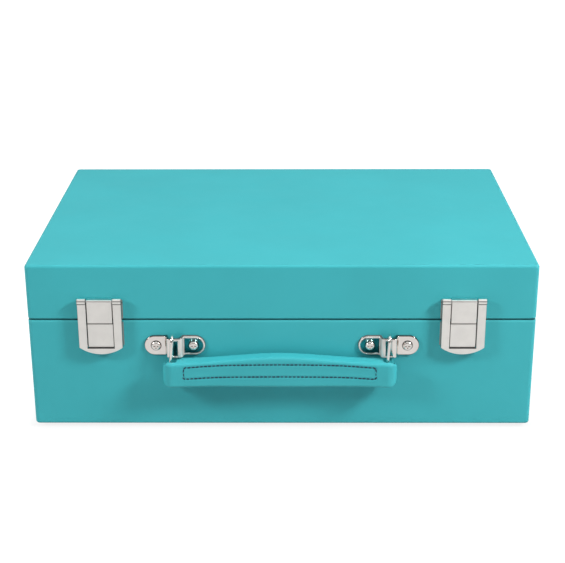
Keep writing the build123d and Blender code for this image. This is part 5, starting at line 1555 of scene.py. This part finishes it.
@dataclass
class Case(Assembly):
    """Covered box, its lid, feet, hinges and latches."""

    def build(self) -> None:
        """Dresses the CAD nodes of the case."""
        self.dress({
            Surface.COVERING: ("base_shell", "lid_shell"),
            Surface.HARDBOARD: ("bottom_panel",),
            Surface.TIMBER: ("corner_blocks",),
            Surface.RUBBER: ("rubber_feet", "lid_bumpers"),
            Surface.TURNED_STEEL: ("foot_screws", "hinge_pins", "latch_pins"),
            Surface.HINGE_STEEL: ("hinge_base_leaves", "hinge_lid_leaves"),
            Surface.SCREW_CHROME: ("hinge_base_screws", "hinge_lid_screws"),
            Surface.LATCH_NICKEL: (
                "latch_hinge_plates", "latch_catch_plates",
                "latch_frame_left", "latch_frame_right",
            ),
        })


@dataclass
class Deck(Assembly):
    """Plate with the platter and its drive."""

    dot: Point = (2.6 * MM, 0.5 * MM, 1.3 * MM)
    dot_pitch: float = 5.2 * MM
    dot_rows: Pair = (3.0 * MM, 6.0 * MM)
    steps: int = 360

    def build(self) -> None:
        """Dresses the drive and sets dots round the platter."""
        self.dress({
            Surface.DECK_PLASTIC: ("deck_plate",),
            Surface.SCREW_CHROME: ("deck_screws",),
            Surface.PLATTER_PLASTIC: ("platter",),
            Surface.MAT_FELT: ("slipmat",),
            Surface.TURNED_STEEL: ("spindle",),
            Surface.BRASS: ("spindle_bearing", "motor_pulley"),
            Surface.RUBBER: ("drive_belt", "motor_grommets"),
            Surface.PRESSED_STEEL: ("motor_can", "motor_bracket"),
            Surface.GLOSS_BLACK: ("adapter_45",),
        })
        self.dots()

    def dots(self) -> None:
        """Sets two rows of silver dots round the rim of the platter."""
        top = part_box("platter")[1].z
        trim = Trim(Surface.STROBE_SILVER, Slot.PLATTER, Body.PLATTER)
        for row, below in enumerate(self.dot_rows):
            path = ring_path(centre_of("platter"), radius_of("platter"), top - below, self.steps)
            self.row(f"strobe_dots_{row}", Repeat(self.dot_pitch), path, capsule(*self.dot), trim)


@dataclass
class Tonearm(Assembly):
    """Pivoted arm with its head, rest, lift and weight."""

    def build(self) -> None:
        """Dresses the CAD nodes of the arm."""
        self.dress({
            Surface.PLAIN_BLACK: ("tonearm_base", "lift_bar", "arm_rest"),
            Surface.GLOSS_BLACK: ("tonearm_gimbal", "headshell"),
            Surface.TURNED_STEEL: ("pivot_screws",),
            Surface.ARM_ALUMINIUM: ("tonearm_tube",),
            Surface.KNOB_BLACK: ("cartridge", "counterweight", "cue_lever", "arm_clip"),
            Surface.RED_PLASTIC: ("stylus",),
        })


@dataclass
class Controls(Assembly):
    """Knobs, slides, lamp and what is printed beside them."""

    rib_pitch: float = 1.9 * MM
    rib_width: float = 0.8 * MM
    rib_share: float = 0.62
    rib_sunk: float = 0.15 * MM
    rib_below: float = 1.8 * MM
    rib_steps: int = 180
    tick_width: float = 0.5 * MM
    tick_length: float = 1.8 * MM
    tick_gap: float = 2.6 * MM
    ticks_round: int = 12
    tick_steps: int = 120
    thin: float = 0.05 * MM
    digit: float = 3.6 * MM
    digit_gap: float = 2.2 * MM
    digit_rows: float = 6.0 * MM

    def __post_init__(self) -> None:
        """Takes the height of the deck from the frame."""
        self.deck_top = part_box("speaker_grilles")[0].z

    def build(self) -> None:
        """Dresses the controls, ribs the knobs and prints the marks."""
        self.dress({
            Surface.POINTER_KNOB: ("volume_knob", "function_knob"),
            Surface.KNOB_BLACK: ("speed_selector", "autostop_switch"),
            Surface.PLAIN_BLACK: ("control_switches",),
            Surface.RED_PLASTIC: ("power_lamp",),
        })
        for node, body in (("volume_knob", Body.VOLUME), ("function_knob", Body.FUNCTION)):
            self.ribs(node, body)
            self.ticks(node)
        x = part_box("speed_selector")[1].x + self.digit_gap
        for text, place in (("33", -1), ("45", 0), ("78", 1)):
            y = centre_of("speed_selector").y + place * self.digit_rows
            self.number(text, (x, y, self.deck_top + self.thin / 2))

    def ribs(self, node: str, body: Body) -> None:
        """Sets upright ribs round a knob.

        Args:
            node: CAD node of the knob.
            body: Body that it rides on.
        """
        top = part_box(node)[1].z
        tall = (top - self.deck_top) * self.rib_share
        height = top - tall / 2 - self.rib_below
        path = ring_path(centre_of(node), radius_of(node) - self.rib_sunk, height, self.rib_steps)
        shape = capsule(self.rib_width, self.rib_width, tall)
        trim = Trim(Surface.KNOB_BLACK, Slot.KNOB, body)
        self.row(f"{node}_ribs", Repeat(self.rib_pitch), path, shape, trim)

    def ticks(self, node: str) -> None:
        """Prints a ring of marks on the deck round a knob.

        Args:
            node: CAD node of the knob.
        """
        radius = radius_of(node) + self.tick_gap
        path = ring_path(centre_of(node), radius, self.deck_top + self.thin / 2, self.tick_steps)
        shape = capsule(self.tick_width, self.tick_length, self.thin)
        spaced = Repeat(math.tau * radius / self.ticks_round)
        trim = Trim(Surface.INK_WHITE, Slot.DECK, Body.BASE)
        self.row(f"{node}_marks", spaced, path, shape, trim)

    def number(self, text: str, place: Point) -> None:
        """Prints a speed beside its slide.

        Args:
            text: The number.
            place: Middle of its left edge.
        """
        curve = bpy.data.curves.new(f"speed_{text}", "FONT")
        curve.body = text
        curve.size = self.digit
        curve.extrude = self.thin / 2
        curve.align_x = "LEFT"
        curve.align_y = "CENTER"
        written = bpy.data.objects.new(curve.name, curve)
        bpy.context.scene.collection.objects.link(written)
        bpy.context.view_layer.update()
        mesh = bpy.data.meshes.new_from_object(written)
        mesh.transform(Matrix.Translation(place))
        piece = bpy.data.objects.new(f"speed_number_{text}", mesh)
        bpy.context.scene.collection.objects.link(piece)
        bpy.data.objects.remove(written)
        self.trim(piece, Trim(Surface.INK_WHITE, Slot.DECK, Body.BASE))


@dataclass
class Inside(Assembly):
    """Speakers, board, wires and sockets."""

    def build(self) -> None:
        """Dresses the CAD nodes inside the base."""
        self.dress({
            Surface.GRILLE_PAINT: ("speaker_grilles",),
            Surface.PRESSED_STEEL: ("speaker_frames",),
            Surface.CONE_PAPER: ("speaker_cones",),
            Surface.FERRITE: ("speaker_magnets",),
            Surface.CIRCUIT: ("main_board",),
            Surface.KNOB_BLACK: ("board_components",),
            Surface.PLAIN_BLACK: ("jack_panel",),
            Surface.HINGE_STEEL: ("jack_sockets",),
            Surface.RUBBER: ("wiring_loom",),
        })


@dataclass(frozen=True)
class Lamp:
    """Square soft light."""

    name: str
    place: Point
    size: float
    power: float

    def build(self, target: Point) -> None:
        """Aims the light at a point.

        Args:
            target: The point.
        """
        data = bpy.data.lights.new(self.name, "AREA")
        data.shape = "SQUARE"
        data.size = self.size
        data.energy = self.power
        made = bpy.data.objects.new(self.name, data)
        made.location = self.place
        made.rotation_euler = (Vector(target) - Vector(self.place)).to_track_quat("-Z", "Y").to_euler()
        bpy.context.scene.collection.objects.link(made)


@dataclass
class Studio:
    """White floor, soft lights and camera, in metres and degrees, with the lens in millimetres."""

    place: Point = (0.008668, -0.99558, 0.43404)
    pitch: float = 21.808
    yaw: float = -0.505
    roll: float = -0.187
    lens: float = 86.0
    sensor: float = 36.0
    shift: Pair = (-0.0009, 0.0690)
    clip: Pair = (0.01, 50.0)
    floor_half: float = 6.0
    floor_tone: float = 0.52
    floor_glow: float = 1.17
    contact: float = 20.0 * MM
    contact_share: float = 0.74
    mirrored_floor: float = 0.30
    mirrored_sky: float = 0.15
    sky: float = 0.17
    target: Point = (0.0, 0.0, 0.06)
    lamps: tuple[Lamp, ...] = (
        Lamp("overhead", (0.1, 0.0, 1.7), 1.5, 9.4),
        Lamp("key_right", (1.10, -0.63, 1.00), 0.30, 18.0),
        Lamp("key_left", (-1.15, -0.68, 0.81), 0.30, 8.2),
        Lamp("rear_left", (-1.4, 1.2, 0.9), 0.8, 5.0),
        Lamp("rear_right", (1.4, 1.2, 0.9), 0.8, 5.0),
    )

    def build(self) -> None:
        """Makes the camera, floor, world and lights."""
        self._camera()
        self._floor()
        self._world()
        for lamp in self.lamps:
            lamp.build(self.target)
        bpy.context.scene.view_settings.view_transform = "Standard"

    def _camera(self) -> None:
        """Looks slightly down at the front."""
        pitch, yaw, roll = (math.radians(v) for v in (self.pitch, self.yaw, self.roll))
        flat = math.cos(pitch)
        ahead = Vector((math.sin(yaw) * flat, math.cos(yaw) * flat, -math.sin(pitch)))
        right = ahead.cross(Vector((0.0, 0.0, 1.0))).normalized()
        upward = right.cross(ahead)
        across = right * math.cos(roll) + upward * math.sin(roll)
        above = upward * math.cos(roll) - right * math.sin(roll)
        data = bpy.data.cameras.new("camera")
        data.lens = self.lens
        data.sensor_width = self.sensor
        data.shift_x, data.shift_y = self.shift
        data.clip_start, data.clip_end = self.clip
        made = bpy.data.objects.new("camera", data)
        bpy.context.scene.collection.objects.link(made)
        turn = Matrix((across, above, -ahead)).transposed().to_4x4()
        made.matrix_world = Matrix.Translation(self.place) @ turn
        bpy.context.scene.camera = made

    def _rays(self, graph: Graph) -> tuple[Sock, Sock]:
        """What the camera sees, and what metal and gloss mirror."""
        kinds = ("Is Camera Ray", "Is Glossy Ray")
        return tuple(graph.node("ShaderNodeLightPath", output=kind) for kind in kinds)

    def _floor(self) -> None:
        """Pale floor whose own brightness lifts its shadows for the camera."""
        half = self.floor_half
        corners = [(-half, -half, 0.0), (half, -half, 0.0), (half, half, 0.0), (-half, half, 0.0)]
        floor = add_mesh("floor", corners, [], [(0, 1, 2, 3)])
        material = bpy.data.materials.new("floor_white")
        material.use_nodes = True
        graph = Graph(material.node_tree)
        matte = graph.node("ShaderNodeBsdfDiffuse", inputs={"Color": (*[self.floor_tone] * 3, 1.0)})
        glow = graph.node("ShaderNodeEmission", inputs={"Color": PURE_WHITE, "Strength": self.floor_glow})
        low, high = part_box("base_shell")
        x, y, _ = graph.axes()
        beside = (abs(x) - high.x).most(abs(y - middle_of(low.y, high.y)) - (high.y - low.y) / 2)
        seen, mirrored = self._rays(graph)
        share = seen * beside.ramp(0.0, self.contact, self.contact_share) + mirrored * self.mirrored_floor
        surface = graph.node("ShaderNodeMixShader", inputs={0: share, 1: matte, 2: glow})
        graph.node("ShaderNodeOutputMaterial", inputs={"Surface": surface})
        floor.data.materials.append(material)

    def _world(self) -> None:
        """White behind the object, softer as light."""
        world = bpy.data.worlds.new("studio")
        world.use_nodes = True
        graph = Graph(world.node_tree)
        seen, mirrored = self._rays(graph)
        level = (seen + mirrored * self.mirrored_sky) * (1.0 - self.sky) + self.sky
        sky = graph.node("ShaderNodeBackground", inputs={"Color": PURE_WHITE, "Strength": level})
        graph.node("ShaderNodeOutputWorld", inputs={"Surface": sky})
        bpy.context.scene.world = world


def main() -> None:
    """Builds every part of the look in order."""
    logging.basicConfig(level=logging.INFO, format="%(message)s")
    finishes = set_of_finishes()
    Studio().build()
    for part in (Case, Handle, Deck, Tonearm, Controls, Inside):
        part(finishes).build()
        log.info("%s done", part.__name__)


if __name__ == "__main__":
    main()
